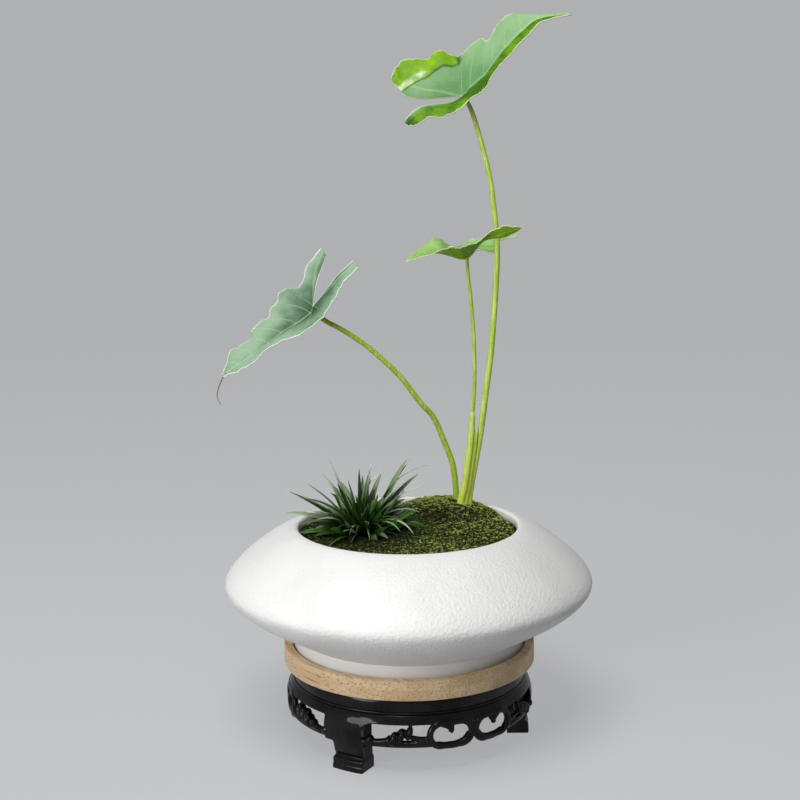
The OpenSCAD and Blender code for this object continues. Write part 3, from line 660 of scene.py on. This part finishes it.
def ball(place, turn, radii, tilt=0):
    """An egg for the carving: radii outward, sideways and up."""
    bpy.ops.object.select_all(action="DESELECT")
    bpy.ops.mesh.primitive_uv_sphere_add(segments=24, ring_count=16, radius=MM, location=place,
                                         rotation=(radians(tilt), 0, radians(turn)), scale=radii)
    return bpy.context.object


def drill(piece, place, width, depth):
    """Press a small hollow into the skin."""
    inward = Vector((-place.x, -place.y, 0)).normalized()
    for corner in piece.data.vertices:
        share = 1 - ((corner.co - place).length / width) ** 2
        if share > 0:
            corner.co += inward * depth * share


def rim_outline():
    line = [(LEDGE_R, RIM_Z), (RIM_R, RIM_Z)]
    line += [(RIM_R + RIM_BEAD * cos(a), RIM_Z + RIM_BEAD * (1 + sin(a)))
             for a in (radians(d) for d in range(-75, 76, 15))]
    line += bezier((RIM_R, RIM_Z + 2 * RIM_BEAD), (RIM_R, RIM_Z + 2 * RIM_BEAD + RIM_SWELL),
                   (RIM_TOP_R + RIM_SWELL, STAND_H), (RIM_TOP_R, STAND_H), 20)
    return line + [(PANEL_SEAT, STAND_H), (PANEL_SEAT, STAND_H - PANEL_T), (LEDGE_R, STAND_H - PANEL_T)]


def apron_tongue(turn):
    """The end of an apron, let a little into the leg so that no gap shows."""
    heights = [RIM_Z - i * TONGUE_STEP for i in range(TONGUE_STEPS + 1)]
    line = [(belly_at(z), z) for z in heights]
    line += [(r - APRON_T, z) for r, z in reversed(line)]
    return turned(line, steps=6, start=radians(turn - TONGUE_HALF), sweep=radians(2 * TONGUE_HALF))


def apron_carving(turn):
    """Buds, berries, strands and curls of one apron, the same to both sides of its middle."""
    loose = []
    for side in (-1, 1):
        def spot(angle, height, sunk):
            return on_belly(turn + side * angle, height, sunk)

        def strand(places, from_r, to_r):
            return twig([spot(*place) for place in places], from_r, to_r)

        loose += [apron_tongue(turn + side * (APRON_END + TONGUE_IN)), strand(*END_STRAND),
                  ball(spot(*BUD_AT), turn + side * BUD_AT[0], BUD_SIZE, BUD_LEAN * side)]
        for angle, height in BERRIES:
            loose.append(ball(spot(angle, height, BERRY_SUNK), turn + side * angle,
                              BERRY_SIZE, BERRY_LEAN * side))
        loose += [strand(*each) for each in STRANDS]
    loose.append(ball(on_belly(turn, *MIDDLE_AT), turn, MIDDLE_SIZE))
    return loose


def carved_ring():
    """Legs, aprons and their carving blended into one skin, sanded soft and drilled."""
    loose = [copy_of(f"stand_{part}_{k}") for part in ("leg", "apron") for k in (1, 2, 3)]
    for turn in APRON_TURNS.values():
        loose += apron_carving(turn)
    ring = glue(loose)
    work(ring, "REMESH", mode="VOXEL", voxel_size=CARVED_GRAIN)
    work(ring, "SMOOTH", factor=0.5, iterations=2)
    for turn in APRON_TURNS.values():
        for side in (-1, 1):
            for angle, height in BERRIES:
                drill(ring, on_belly(turn + side * angle, height - DOT_BELOW, -DOT_OUT), DOT_W, DOT_DEPTH)
    return ring


def outward(turn):
    return Vector((cos(radians(turn)), sin(radians(turn)), 0))


def make_stand():
    wood = dark_wood()
    ring = carved_ring()
    for k in (1, 2, 3):
        rim = turned(rim_outline(), steps=60, start=radians(LEG_TURNS[k] - LEG_STEP / 2),
                     sweep=radians(LEG_STEP))
        hand_over(rim, f"turned_rim_{k}", "stand", "dark_wood", wood, f"stand_rim_{k}")
        along, side = outward(LEG_TURNS[k]), outward(LEG_TURNS[k] + 90)
        leg = cut_out(ring, (along * LEDGE_R / 2, along),
                      (side * LEG_W / 2, -side), (side * LEG_W / -2, side))
        before, after = outward(APRON_TURNS[k] + LEG_SIDE), outward(APRON_TURNS[k] - LEG_SIDE)
        apron = cut_out(ring, (before * LEG_W / 2, before), (after * LEG_W / 2, after))
        for name, piece in (("leg", leg), ("apron", apron)):
            sand(piece, 55)
            hand_over(piece, f"carved_{name}_{k}", "stand", "dark_wood", wood, f"stand_{name}_{k}")
    bpy.data.objects.remove(ring)
    repaint("stand_panel", wood)


# Planting: stalks along given routes, in millimetres from the top of the stem base

TALL_ROUTE = [(4.5, 0, 0), (5, 0, 8), (7, 0, 21), (12.5, -1, 52), (16.5, -3, 82), (21, -4, 119),
              (24, -6, 162), (25, -8, 191), (23, -9, 217), (19, -11, 244), (12, -12, 271),
              (6, -13.5, 289), (0.5, -16, 296.5)]
SHEATH_ROUTE = [(-1.5, -4.5, 0), (-1, -4.5, 8), (2, -4.5, 21), (6, -5, 52), (7, -5, 66), (7.5, -5, 74)]
SHEATH_WEB = [(1.5, -2.5, 0), (2, -2.5, 8), (4.5, -2.5, 21), (8.5, -3.2, 46), (10.5, -3.8, 60)]
SHORT_ROUTE = [(7.5, -5, 74.3), (8, -5.5, 80), (9, -6, 98), (8.5, -6.5, 127), (6.5, -7, 155),
               (4.5, -8, 172), (3.5, -8, 185.5)]
BENT_ROUTE = [(-4, 4.5, 0), (-4, 4.5, 8), (-6.5, 4, 32), (-13, 2, 51), (-21, -2, 70), (-30, -7, 81),
              (-45, -13, 102), (-66, -20, 123), (-83, -26, 136), (-96, -31, 144), (-104.5, -35.5, 151)]

# A stalk flares into its leaf, and a sheath thins to its end; radii in mm
FLARE, FLARE_FROM = 0.35, 0.96
THINNED, THINNED_FROM = 0.6, 0.9
WEB_R, WEB_THINNED = 2.7, 1.7
SHEATH_GRAIN = 0.35 * MM


def from_stem(place):
    return STEM + Vector(place) * MM


def past(share, start):
    """How far a share lies on the way from a start to the end."""
    return max(0, (share - start) / (1 - start))


def make_stalk(name, node, route, foot_r, top_r, finish, steps=60, grown=None):
    """One stalk along its route, and the web of a sheath grown together with it."""
    shares = [i / steps for i in range(steps + 1)]
    if grown:
        width = [1 - THINNED * past(u, THINNED_FROM) for u in shares]
    else:
        width = [1 + FLARE * past(u, FLARE_FROM) for u in shares]
    stalk = rod(smooth_line([from_stem(p) for p in route], steps),
                [(foot_r + (top_r - foot_r) * u) * w * MM for u, w in zip(shares, width)])
    if grown:
        web = rod(smooth_line([from_stem(p) for p in grown], steps),
                  [(WEB_R - WEB_THINNED * u ** 3) * MM for u in shares])
        stalk = glue([stalk, web])
        work(stalk, "REMESH", mode="VOXEL", voxel_size=SHEATH_GRAIN)
        work(stalk, "SMOOTH", factor=0.5, iterations=4)
        take(stalk)
        bpy.ops.object.shade_smooth()
    hand_over(stalk, name, "planting", "stalk", finish, node)


def make_stalks():
    bright = stalk_green("stalk_bright", (174, 204, 70), (216, 232, 132), (224, 244, 62))
    slim = stalk_green("stalk_slim", (164, 190, 52), (202, 218, 104), (172, 204, 48))
    make_stalk("stalk_tall", "tall_stalk", TALL_ROUTE, 2.6, 1.5, bright, 90)
    make_stalk("stalk_sheath", "leaf_sheath", SHEATH_ROUTE, 2.9, 2.2, bright, 40, grown=SHEATH_WEB)
    make_stalk("stalk_short", "short_stalk", SHORT_ROUTE, 1.5, 1.1, slim)
    make_stalk("stalk_bent", "bent_stalk", BENT_ROUTE, 2.3, 1.7, slim, 80)


# Leaves: rows from the two back lobes to the point, in millimetres from the leaf's base. A row of the lobes
# has the far half's inner and outer edge and the near half's, a later row the midrib and both outer edges

BENT_AT = (-103, -34, 150)
BENT_BASE = 3
BENT_ROWS = [
    ((8, 14, 38), (4, 15, 44), (27, -14, 37), (31, -17, 33)),
    ((4, 11, 28), (-6, 13, 31), (17, -10, 28), (21, -15, 22)),
    ((1, 7, 19), (-11, 12, 18), (10, -6, 19), (15, -15, 13)),
    ((-1, 0, 5), (-18, 13, 16), (10, -18, 4)),
    ((-3, -1, 0), (-25, 13, 13), (4, -22, -3)),
    ((-13, -3, -7), (-30, 11, 2), (-10, -24, -11)),
    ((-23, -5, -13), (-38, 8, -6), (-23, -22, -17)),
    ((-32, -7, -20), (-45, 5, -11), (-34, -20, -23)),
    ((-43, -9, -28), (-46, 2, -18), (-44, -20, -33)),
    ((-53, -11, -34), (-58, -3, -26), (-52, -18, -37)),
    ((-63.5, -14, -41), (-64.5, -13, -40), (-63.5, -15, -42))]

TALL_AT = (2, -15, 300)
TALL_BASE = 5
TALL_ROWS = [
    ((-49.5, 9, 6.5), (-50.5, 9.5, 10.5), (-41.5, -21, -19.5), (-40.5, -21.5, -22.5)),
    ((-45, 7.5, 2.5), (-47.5, 11, 17), (-38, -18.5, -15), (-36, -21.5, -23.5)),
    ((-40, 6, -3), (-42, 16, 22), (-31, -15, -10), (-25, -20, -18)),
    ((-28, 4, -5), (-26, 17, 23), (-20, -10, -8), (-12, -18, -16)),
    ((-14, 2, -4), (-19, 17, 29), (-10, -5, -7), (-4, -16, -12)),
    ((-2, 0, -3), (-7, 16, 25), (5, -16, -4)),
    ((4, -1, 3), (-1, 15, 26.5), (10, -17, -1)),
    ((13, -2, 11), (10, 14, 36), (14.5, -17, 3.5)),
    ((18, -3, 17), (16, 11, 35), (19, -15, 11)),
    ((27, -4, 29), (22, 9, 43.5), (29, -13, 23)),
    ((38, -6, 40), (30, 5, 51), (41, -12, 35)),
    ((50, -7, 48), (38.5, 0, 51.5), (53, -11, 45.5)),
    ((71.5, -9, 50.5), (71.5, -8, 51), (72, -10, 50))]

SHORT_AT = (3.5, -8, 182)
SHORT_BASE = 4
SHORT_ROWS = [
    ((36.5, 8, 17), (36, 10, 18.5), (35.5, -14, 23), (38, -19, 25.5)),
    ((24.5, 7, 14.5), (26, 10, 18), (29, -12, 19.5), (30, -19, 26.5)),
    ((19.5, 6, 6), (19, 10, 16.5), (24, -11, 17.5), (22, -19, 26)),
    ((8, 3, 8.5), (4.5, 14, 15), (12, -6, 15.5), (13, -14, 20.5)),
    ((2.5, 0, 4.5), (-2, 18, 11), (4.5, -15, 14)),
    ((-3.5, -1, 2.5), (-7.5, 19, 10.5), (-5.5, -17, 12)),
    ((-10.5, -2, 4.5), (-14, 18, 13.5), (-13, -17, 12.5)),
    ((-19, -3, 7), (-20, 15, 17), (-23.5, -15, 7.5)),
    ((-29, -4, 7), (-30.5, 9, 12), (-33, -12, 5)),
    ((-43.5, -6, 2), (-43.5, -5, 2.5), (-43.5, -7, 1.5))]

TENDRIL = ((2, 0.5, 1.5), (-0.5, 0, -2), (-3.5, 0, -9), (-4.5, 0, -15), (-2, 0, -21))

LEAF_T = 0.5 * MM
CELLS_ALONG = 10
CELLS_ACROSS = 20
SAME_EDGE = 0.02 * MM
SWELL_WAY, SWELL = Vector((0, -0.4, 1)), 0.07

# Waves of a leaf's edge, per row, and of its face, per metre, each with its size in mm
EDGE_WAVES = ((1.7, 2.2), (4.3, 1.1))
RIPPLES = ((60, 2.4), (170, 0.9))
STIFF = 0.25
NARROW = 18

# How young a leaf's green is, and the painted sheen that comes on top
YOUNG_NEAR, YOUNG_SHORT, YOUNG_TIP = 0.65, 0.21, 0.19
PAINTED_SHEEN = 0.8


def step(value, low, high):
    """0 below low, 1 above high and smooth between them."""
    t = min(max((value - low) / (high - low), 0), 1)
    return t * t * (3 - 2 * t)


def mark(piece, **marks):
    """Keep values per corner on the piece's own mesh."""
    for name, values in marks.items():
        piece.data.attributes.new(name, "FLOAT", "POINT").data.foreach_set("value", values)


def half_leaf(rows, near, at, fresh):
    """One half of a leaf's sheet: a grid laid between its two edges, swelling a little."""
    last = len(rows) - 1
    bpy.ops.object.select_all(action="DESELECT")
    bpy.ops.mesh.primitive_grid_add(x_subdivisions=CELLS_ALONG * last, y_subdivisions=CELLS_ACROSS, size=2)
    half = bpy.context.object
    inner = [Vector(edges[2 * near if len(edges) == 4 else 0]) for edges in rows]
    outer = [Vector(edges[-1 if near else 1]) for edges in rows]
    along, across, wide, young = [], [], [], []
    for corner in half.data.vertices:
        u, v = ((c + 1) / 2 for c in corner.co[:2])
        row = u * last
        a, b = smooth_at(inner, u), smooth_at(outer, u)
        stray = sum(size * noise.noise(Vector((row * pace, near, at[2]))) for pace, size in EDGE_WAVES)
        b += (b - a).normalized() * stray * min(step(u, 0, 0.1), step(u, 1, 0.92))
        width = (b - a).length
        swell = SWELL_WAY * width * SWELL * sin(pi * v)
        corner.co = from_stem(Vector(at) + a.lerp(b, v) + swell)
        along.append(row)
        across.append(v)
        wide.append(width)
        young.append(fresh(near, row, v))
    mark(half, along=along, across=across, wide=wide, young=young)
    return half


def make_leaf(name, node, rows, at, finishes, fresh, ripple):
    """Both halves joined, rippled and given their thickness; one finish above and one below."""
    leaf = glue([half_leaf(rows, near, at, fresh) for near in (0, 1)])
    with on_the_bench(leaf):
        bpy.ops.mesh.remove_doubles(threshold=SAME_EDGE)
        bpy.ops.mesh.normals_make_consistent(inside=False)
    if sum((p.normal for p in leaf.data.polygons), Vector()).z < 0:
        with on_the_bench(leaf):
            bpy.ops.mesh.flip_normals()
    mesh = leaf.data
    across = [v.value for v in mesh.attributes["across"].data]
    wide = [v.value for v in mesh.attributes["wide"].data]
    for corner, v, width in zip(mesh.vertices, across, wide):
        wave = sum(size * noise.noise(corner.co * pace) for pace, size in RIPPLES)
        give = (STIFF + (1 - STIFF) * v ** 3) * min(width / NARROW, 1)
        corner.co += corner.normal * wave * ripple * give * MM
    for finish in finishes:
        mesh.materials.append(finish)
    work(leaf, "SOLIDIFY", thickness=LEAF_T, offset=-1, material_offset=1)
    take(leaf)
    bpy.ops.object.shade_smooth()
    hand_over(leaf, name, "planting", "leaf", finishes, node)


def tall_fresh(near, row, v):
    """Young green on the near half and the far lobe's rolled margin, brighter there as painted light
    against its shade, with a painted sheen on its fold.
    """
    if near:
        return YOUNG_NEAR * step(v, 0.1, 0.3)
    past_fold = v - min(0.13 + 0.11 * row, 0.29 * (row - 1.3))
    painted_sheen = step(past_fold, -0.04, 0.04) * step(past_fold, 0.26, 0.12) * step(row, 3.4, 2.6)
    return step(past_fold, -0.07, 0.07) * step(row, 6.2, 4.8) + PAINTED_SHEEN * painted_sheen


def short_fresh(near, row, v):
    return YOUNG_SHORT if near else YOUNG_SHORT * step(row, 7, 9)


def bent_fresh(near, row, v):
    return YOUNG_TIP * step(row, 8, 10)


def make_leaves():
    waxy = leaf_green("leaf_waxy", BENT_BASE, (146, 176, 146), (46, 84, 54),
                      (178, 202, 172), (230, 236, 226))
    fresh = leaf_green("leaf_fresh", TALL_BASE, (140, 178, 128), (92, 140, 84),
                       (170, 200, 150), (212, 224, 184))
    small = leaf_green("leaf_small", SHORT_BASE, (156, 196, 116), (104, 152, 60),
                       (190, 216, 150), (214, 226, 184))
    under = leaf_green("leaf_under", TALL_BASE, (118, 150, 34), (82, 116, 20),
                       (140, 170, 60), (210, 224, 150))
    # Painted light: the short leaf's underside is coloured brighter, standing in for light that shines
    # through the leaf
    small_under = leaf_green("leaf_small_under", SHORT_BASE, (164, 214, 46), (116, 168, 22),
                             (206, 240, 100), (232, 246, 176))
    pale = leaf_green("leaf_pale_under", BENT_BASE, (142, 170, 112), (116, 148, 88),
                      (172, 194, 132), (214, 224, 192))
    make_leaf("leaf_bent", "bent_leaf", BENT_ROWS, BENT_AT, (waxy, pale), bent_fresh, 0.9)
    make_leaf("leaf_tall", "tall_leaf", TALL_ROWS, TALL_AT, (fresh, under), tall_fresh, 1.0)
    make_leaf("leaf_short", "short_leaf", SHORT_ROWS, SHORT_AT, (small, small_under), short_fresh, 1.1)
    tip = Vector(BENT_AT) + Vector(BENT_ROWS[-1][0])
    tendril = twig([from_stem(tip + Vector(way)) for way in TENDRIL], 0.55, 0.2, steps=20, sides=3)
    hand_over(tendril, "leaf_tendril", "planting", "leaf", dry_brown())


# Moss: a lumpy cushion, covered with small sprigs

MOUND_AT = Vector((25, 40)) * MM
MOUND_RISE = 7 * MM
MOUND_CURVE = 90 * MM
MOUND_MOST = 30 * MM
MOSS_EDGE = 3.5 * MM
MOSS_ROLL, MOSS_ROLL_FROM = 4 * MM, 0.93
MOSS_RINGS, MOSS_MIDDLE = 36, 1.5
CUSHION_TONE = 0.3

# Lumps of the moss: how many per metre, where their noise is cut, and their size in mm
MOSS_LUMPS = ((70, 0.3, 1.6), (210, 1.7, 1.5))

# Sprigs: sizes in mm, and the painted shade round the grass and painted light towards the back
SPRIGS = 12000
SPRIG_MARGIN = 1.2 * MM
SPRIG_STRAY = 0.5
SPRIG_SIZE = (0.9, 1.5)
FIRST_TURN = (0, 6.3)
LEAFLETS, LEAFLET_TURN, LEAFLET_HALF = 6, 1.05, 0.32
LEAFLET_LIFT = (0.8, 2.0)
LEAFLET_TIPS = [0.0, 0.6, 1.0, 0.6]
SHADED, SHADE_REACH = 0.15, (16 * MM, 66 * MM)
BACK_LIGHT, BACK_REACH = 0.5, (5 * MM, 50 * MM)


def moss_height(x, y):
    """The cushion's level: a low dome, a mound at the back, and lumps."""
    reach = min(hypot(x, y) / MOSS_R, 1)
    dome = LIP_Z - MOSS_EDGE * reach ** 2 - MOSS_ROLL * past(reach, MOSS_ROLL_FROM) ** 2
    off = (Vector((x, y)) - MOUND_AT).length
    mound = LIP_Z + MOUND_RISE - MOUND_CURVE + sqrt(max(MOUND_CURVE ** 2 - off ** 2, 0))
    lumps = sum(size * noise.noise(Vector((x, y, cut)) * pace) for pace, cut, size in MOSS_LUMPS)
    return max(dome, min(mound, dome + MOUND_MOST)) + lumps * MM * (1 - 0.6 * reach ** 6)


def make_cushion(green):
    bpy.ops.object.select_all(action="DESELECT")
    bpy.ops.mesh.primitive_circle_add(vertices=128, radius=MOSS_R, fill_type="NGON")
    cushion = bpy.context.object
    with on_the_bench(cushion):
        for ring in range(MOSS_RINGS):
            bpy.ops.mesh.inset(thickness=MOSS_R / (MOSS_RINGS + MOSS_MIDDLE), use_even_offset=False)
        bpy.ops.mesh.poke()
    for corner in cushion.data.vertices:
        corner.co.z = moss_height(corner.co.x, corner.co.y)
    with on_the_bench(cushion):
        bpy.ops.mesh.select_all(action="DESELECT")
        bpy.ops.mesh.select_non_manifold()
        bpy.ops.mesh.extrude_edges_move(TRANSFORM_OT_translate={"value": (0, 0, 0)})
        bpy.ops.transform.resize(value=(1, 1, 0), center_override=(0, 0, MOSS_FOOT_Z))
        bpy.ops.mesh.edge_face_add()
        bpy.ops.mesh.select_all(action="SELECT")
        bpy.ops.mesh.normals_make_consistent(inside=False)
    sand(cushion, 50)
    plain = [CUSHION_TONE] * len(cushion.data.vertices)
    mark(cushion, tip=plain, tone=plain)
    hand_over(cushion, "moss_cushion", "planting", "moss", green, "moss")


def make_sprigs(green):
    corners, faces, tips, tones_and_painted_light = [], [], [], []
    for i in range(SPRIGS):
        reach = (MOSS_R - SPRIG_MARGIN) * sqrt((i + 0.5) / SPRIGS)
        x = reach * cos(i * GOLDEN_TURN) + chance.gauss(0, SPRIG_STRAY) * MM
        y = reach * sin(i * GOLDEN_TURN) + chance.gauss(0, SPRIG_STRAY) * MM
        bright = chance.random() ** 2
        root = Vector((x, y, moss_height(x, y) + (bright - 1) * MM))
        size = chance.uniform(*SPRIG_SIZE) * MM
        first_turn = chance.uniform(*FIRST_TURN)
        for leaflet in range(LEAFLETS):
            turn = first_turn + leaflet * LEAFLET_TURN
            out = Vector((cos(turn), sin(turn), 0))
            half = Vector((-out.y, out.x, 0)) * size * LEAFLET_HALF
            tip = root + (out + Vector((0, 0, chance.uniform(*LEAFLET_LIFT)))).normalized() * size
            belly = root.lerp(tip, 0.5)
            start = len(corners)
            corners += [root, belly + half, tip, belly - half]
            faces.append((start, start + 1, start + 2, start + 3))
            tips += LEAFLET_TIPS
        # Painted shade darkens the sprigs round the grass crown, and painted light brightens those towards
        # the back
        shade = SHADED + (1 - SHADED) * step((Vector((x, y)) - CROWN.xy).length, *SHADE_REACH)
        tones_and_painted_light += [bright * shade + BACK_LIGHT * step(y, *BACK_REACH)] * LEAFLETS * len(LEAFLET_TIPS)
    sprigs = sheet("moss_sprigs", corners, faces)
    mark(sprigs, tip=tips, tone=tones_and_painted_light)
    hand_over(sprigs, "moss_sprigs", "planting", "moss", green)


def make_moss():
    green = moss_green()
    make_cushion(green)
    make_sprigs(green)


# Grass: arched blades from the crown

BLADES = 130
BLADE_STEPS = 9
BLADE_T = 0.25 * MM
CLEAR_OF_LIP = 0.6 * MM
ROOT_DEPTH = 2
HEART_R = 11 * MM

# A blade's form: how late it bends, its fold, and its width at the foot, on the way and at the point
LATE_BEND, FOLD = 1.4, 0.45
FOOT_W, GAIN_W, FULL_W = 0.55, 0.9, 1.3
TAPER, POINT_W = 2.6, 0.02

# Blades that stand out: tip from the crown in mm (right, back, up), width, bend, and tip paleness, partly
# painted glint
LONG_BLADES = [
    (-50, -6, 13, 4.2, 0.7, 0.4), (-46, 4, 26, 5.0, 0.5, 0.1), (-40, -10, 24, 4.6, 0.9, 0.2),
    (-33, -16, 17, 3.4, 0.9, 1.0), (-36, 10, 30, 4.4, 0.5, 0.1), (-54, 0, 29, 1.4, 0.6, 0.9),
    (-28, -22, 12, 3.4, 1.2, 0.5), (-44, -18, 6, 3.6, 1.1, 0.2), (-20, 4, 50, 3.0, 0.2, 1.0),
    (-15, -2, 34, 5.0, 0.3, 0.0), (-10, 6, 35, 4.4, 0.3, 0.2), (-24, 14, 36, 3.0, 0.6, 0.5),
    (-1, 0, 44, 6.6, 0.2, 0.0), (4, 0, 51, 2.4, 0.3, 1.0), (7, -4, 47, 2.8, 0.5, 1.0),
    (19, 2, 41, 2.6, 1.6, 1.0), (27, 4, 49, 6.6, 0.4, 0.3), (33, 8, 51, 3.4, 0.4, 1.0),
    (53, 6, 42, 2.0, 1.5, 1.0), (27, -6, 33, 4.0, 0.5, 0.6), (44, 0, 29, 2.6, 1.2, 0.9),
    (36, 12, 36, 4.4, 0.6, 0.2), (39, -12, 13, 3.6, 1.5, 0.6), (30, -4, 24, 4.6, 0.9, 0.4),
    (35, -28, 0, 2.0, 1.9, 0.6), (25, -26, 3, 2.0, 1.8, 0.3), (30, -22, 8, 2.6, 1.6, 0.2),
    (14, -28, 6, 2.8, 1.5, 0.0), (6, -34, -1, 1.6, 1.8, 0.4), (-3, -30, 4, 2.4, 1.5, 0.0),
    (-8, -31, 2, 1.8, 1.7, 0.3), (-16, -30, 6, 3.0, 1.4, 0.0), (0, 22, 34, 4.6, 0.5, 0.1),
    (14, 20, 36, 4.2, 0.6, 0.2), (-14, 24, 28, 4.4, 0.8, 0.2), (28, 24, 24, 4.0, 0.9, 0.4)]


def blade(root, turn, lean, bend, length, width, twist):
    """Places of one folded blade, as rings of left edge, keel and right edge."""
    rings = []
    place = root.copy()
    along_step = length / BLADE_STEPS
    for s in range(BLADE_STEPS + 1):
        if place.xy.length > MOUTH_R - CLEAR_OF_LIP:
            place.z = max(place.z, LIP_Z + CLEAR_OF_LIP)
        share = s / BLADE_STEPS
        angle = lean + bend * share ** LATE_BEND
        out = sin(angle)
        along = Vector((out * cos(turn), out * sin(turn), cos(angle)))
        side = Vector((-sin(turn), cos(turn), 0))
        side.rotate(Matrix.Rotation(twist * share, 3, along))
        half = width / 2 * (FOOT_W + GAIN_W * share) * max(1 - share ** TAPER, POINT_W) * FULL_W
        up = side.cross(along) * half * FOLD
        rings.append((place + side * half + up, place.copy(), place - side * half + up))
        place += along * along_step
    return rings


def grass_plan():
    """Where each blade starts, how it leans and how pale its tip is (partly painted glint): a heart kept
    dark by painted shade, and the long ones.
    """
    for i in range(BLADES):
        share = sqrt((i + 0.5) / BLADES)
        turn = i * GOLDEN_TURN + chance.uniform(-0.5, 0.5)
        spread = HEART_R * share
        root = CROWN + Vector((spread * cos(turn), spread * sin(turn), -ROOT_DEPTH * MM))
        lean = radians(max(0, 2 + 58 * share ** 1.2 + chance.gauss(0, 12)))
        bend = radians(chance.uniform(5, 85) * (0.4 + 0.6 * share))
        length = chance.triangular(16, 40, 30) * MM
        width = chance.triangular(2.4, 5.6, 4) * MM
        yield (root, turn, lean, bend, length, width, chance.uniform(-1.8, 1.8)), 0.6 * chance.random() ** 6
    for right, back, up, width, bend, pale in LONG_BLADES:
        rise = up + ROOT_DEPTH
        turn = atan2(back, right)
        out = Vector((cos(turn), sin(turn), 0)) * chance.uniform(0, 6) * MM
        root = CROWN + out - Vector((0, 0, ROOT_DEPTH * MM))
        lean = atan2(hypot(right, back), rise) - bend / 2.4
        length = (Vector((right, back, rise)) * MM).length * (1 + bend * bend / 30)
        yield (root, turn, lean, bend, length, width * MM, chance.uniform(-0.7, 0.7)), pale


def make_grass():
    corners, faces, tone, along, pale = [], [], [], [], []
    for plan, pale_and_glint_tip in grass_plan():
        shade = chance.random()
        for s, ring in enumerate(blade(*plan)):
            left = len(corners)
            keel, right = left + 1, left + 2
            corners += ring
            tone += [shade] * 3
            along += [s / BLADE_STEPS] * 3
            pale += [pale_and_glint_tip] * 3
            if s:
                faces += [(left - 3, keel - 3, keel, left), (keel - 3, right - 3, right, keel)]
    tuft = sheet("grass_tuft", corners, faces)
    mark(tuft, tone=tone, along=along, pale=pale)
    work(tuft, "SOLIDIFY", thickness=BLADE_T, offset=0)
    sand(tuft, 50)
    hand_over(tuft, "grass_tuft", "planting", "grass", grass_green(), "grass_blades")


# Hidden pieces keep their CAD shape and get a finish of their own

def finish_hidden():
    dowels = dowel_wood()
    repaint("drain_net", plain_plastic())
    repaint("leg_dowels", dowels)
    repaint("apron_dowels", dowels)
    repaint("root_ball", potting_mix())
    repaint("stem_base", bpy.data.materials["stalk_bright"])
    repaint("grass_crown", bpy.data.materials["grass_green"])


# Studio: a pale floor that runs up behind, two soft lamps and the photo's camera

CAMERA_AT = (0, -1004.4 * MM, 417.7 * MM)
CAMERA_LENS = 65.71
CAMERA_YAW, CAMERA_TILT, CAMERA_ROLL = (radians(a) for a in (0.267, 80.062, -0.61))
FLOOR_MIDDLE, FLOOR_R, FLOOR_T = 0.01, 2.2, 0.02
BEND_R, BACK_TOP = 1.6, 4.5
FLOOR_GLOW = 0.45
ROOM_COLOUR, ROOM_LIGHT = (0.80, 0.81, 0.83, 1), 0.28
LAMP_SIZE = 1.0
LAMP_AIM = Vector((0, 0, 0.12))


def soft_lamp(name, place, watts):
    lamp = bpy.data.lights.new(name, "AREA")
    lamp.shape = "DISK"
    lamp.size = LAMP_SIZE
    lamp.energy = watts
    stand = placed(name, lamp)
    stand.location = place
    stand.rotation_euler = (LAMP_AIM - Vector(place)).to_track_quat("-Z", "Y").to_euler()


def make_floor():
    """A floor that bends up into a backdrop, and that the camera sees a little brighter than it lights."""
    line = [(FLOOR_MIDDLE, 0), (FLOOR_R, 0)]
    line += [(FLOOR_R + BEND_R * sin(a), BEND_R - BEND_R * cos(a))
             for a in (radians(d) for d in range(10, 91, 10))]
    line += [(FLOOR_R + BEND_R, BACK_TOP)]
    floor = turned(line + [(r + FLOOR_T, z - FLOOR_T) for r, z in reversed(line)], steps=96)
    floor.name = "studio_floor"
    f = Finish("studio_floor", Roughness=0.9)
    f.wear(Base_Color=f.mix(f.noise(f.place(), 3), (158, 159, 162), (164, 165, 167)))
    seen = sum(f.add("LightPath", {}, {}, f"Is {ray} Ray") for ray in ("Camera", "Glossy", "Transmission"))
    glow = f.add("Emission", {}, {"Color": paint(236, 237, 239), "Strength": 1.0})
    body = Wire(f, f.shader.outputs[0])
    shown = f.add("MixShader", {}, {0: seen * FLOOR_GLOW, 1: body, 2: glow})
    f.tree.links.new(shown.socket, f.tree.nodes["Material Output"].inputs["Surface"])
    floor.data.materials.append(f.material)


def make_lights():
    world = bpy.data.worlds.new("studio")
    bpy.context.scene.world = world
    world.use_nodes = True
    room = world.node_tree.nodes["Background"].inputs
    room["Color"].default_value = ROOM_COLOUR
    room["Strength"].default_value = ROOM_LIGHT
    soft_lamp("key_lamp", (-0.2, -0.85, 1.7), 24)
    soft_lamp("left_lamp", (-1.35, -1.4, 0.6), 18)


def make_camera():
    camera = placed("camera", bpy.data.cameras.new("camera"))
    camera.data.lens = CAMERA_LENS
    camera.data.sensor_width = 36
    camera.data.clip_start = 0.05
    turn = (Matrix.Rotation(CAMERA_YAW, 4, "Z") @ Matrix.Rotation(CAMERA_TILT, 4, "X")
            @ Matrix.Rotation(CAMERA_ROLL, 4, "Z"))
    camera.matrix_world = Matrix.Translation(CAMERA_AT) @ turn
    bpy.context.scene.camera = camera
    bpy.context.scene.view_settings.view_transform = "Standard"


make_pot()
make_tray()
make_stand()
make_stalks()
make_leaves()
make_moss()
make_grass()
finish_hidden()
make_floor()
make_lights()
make_camera()
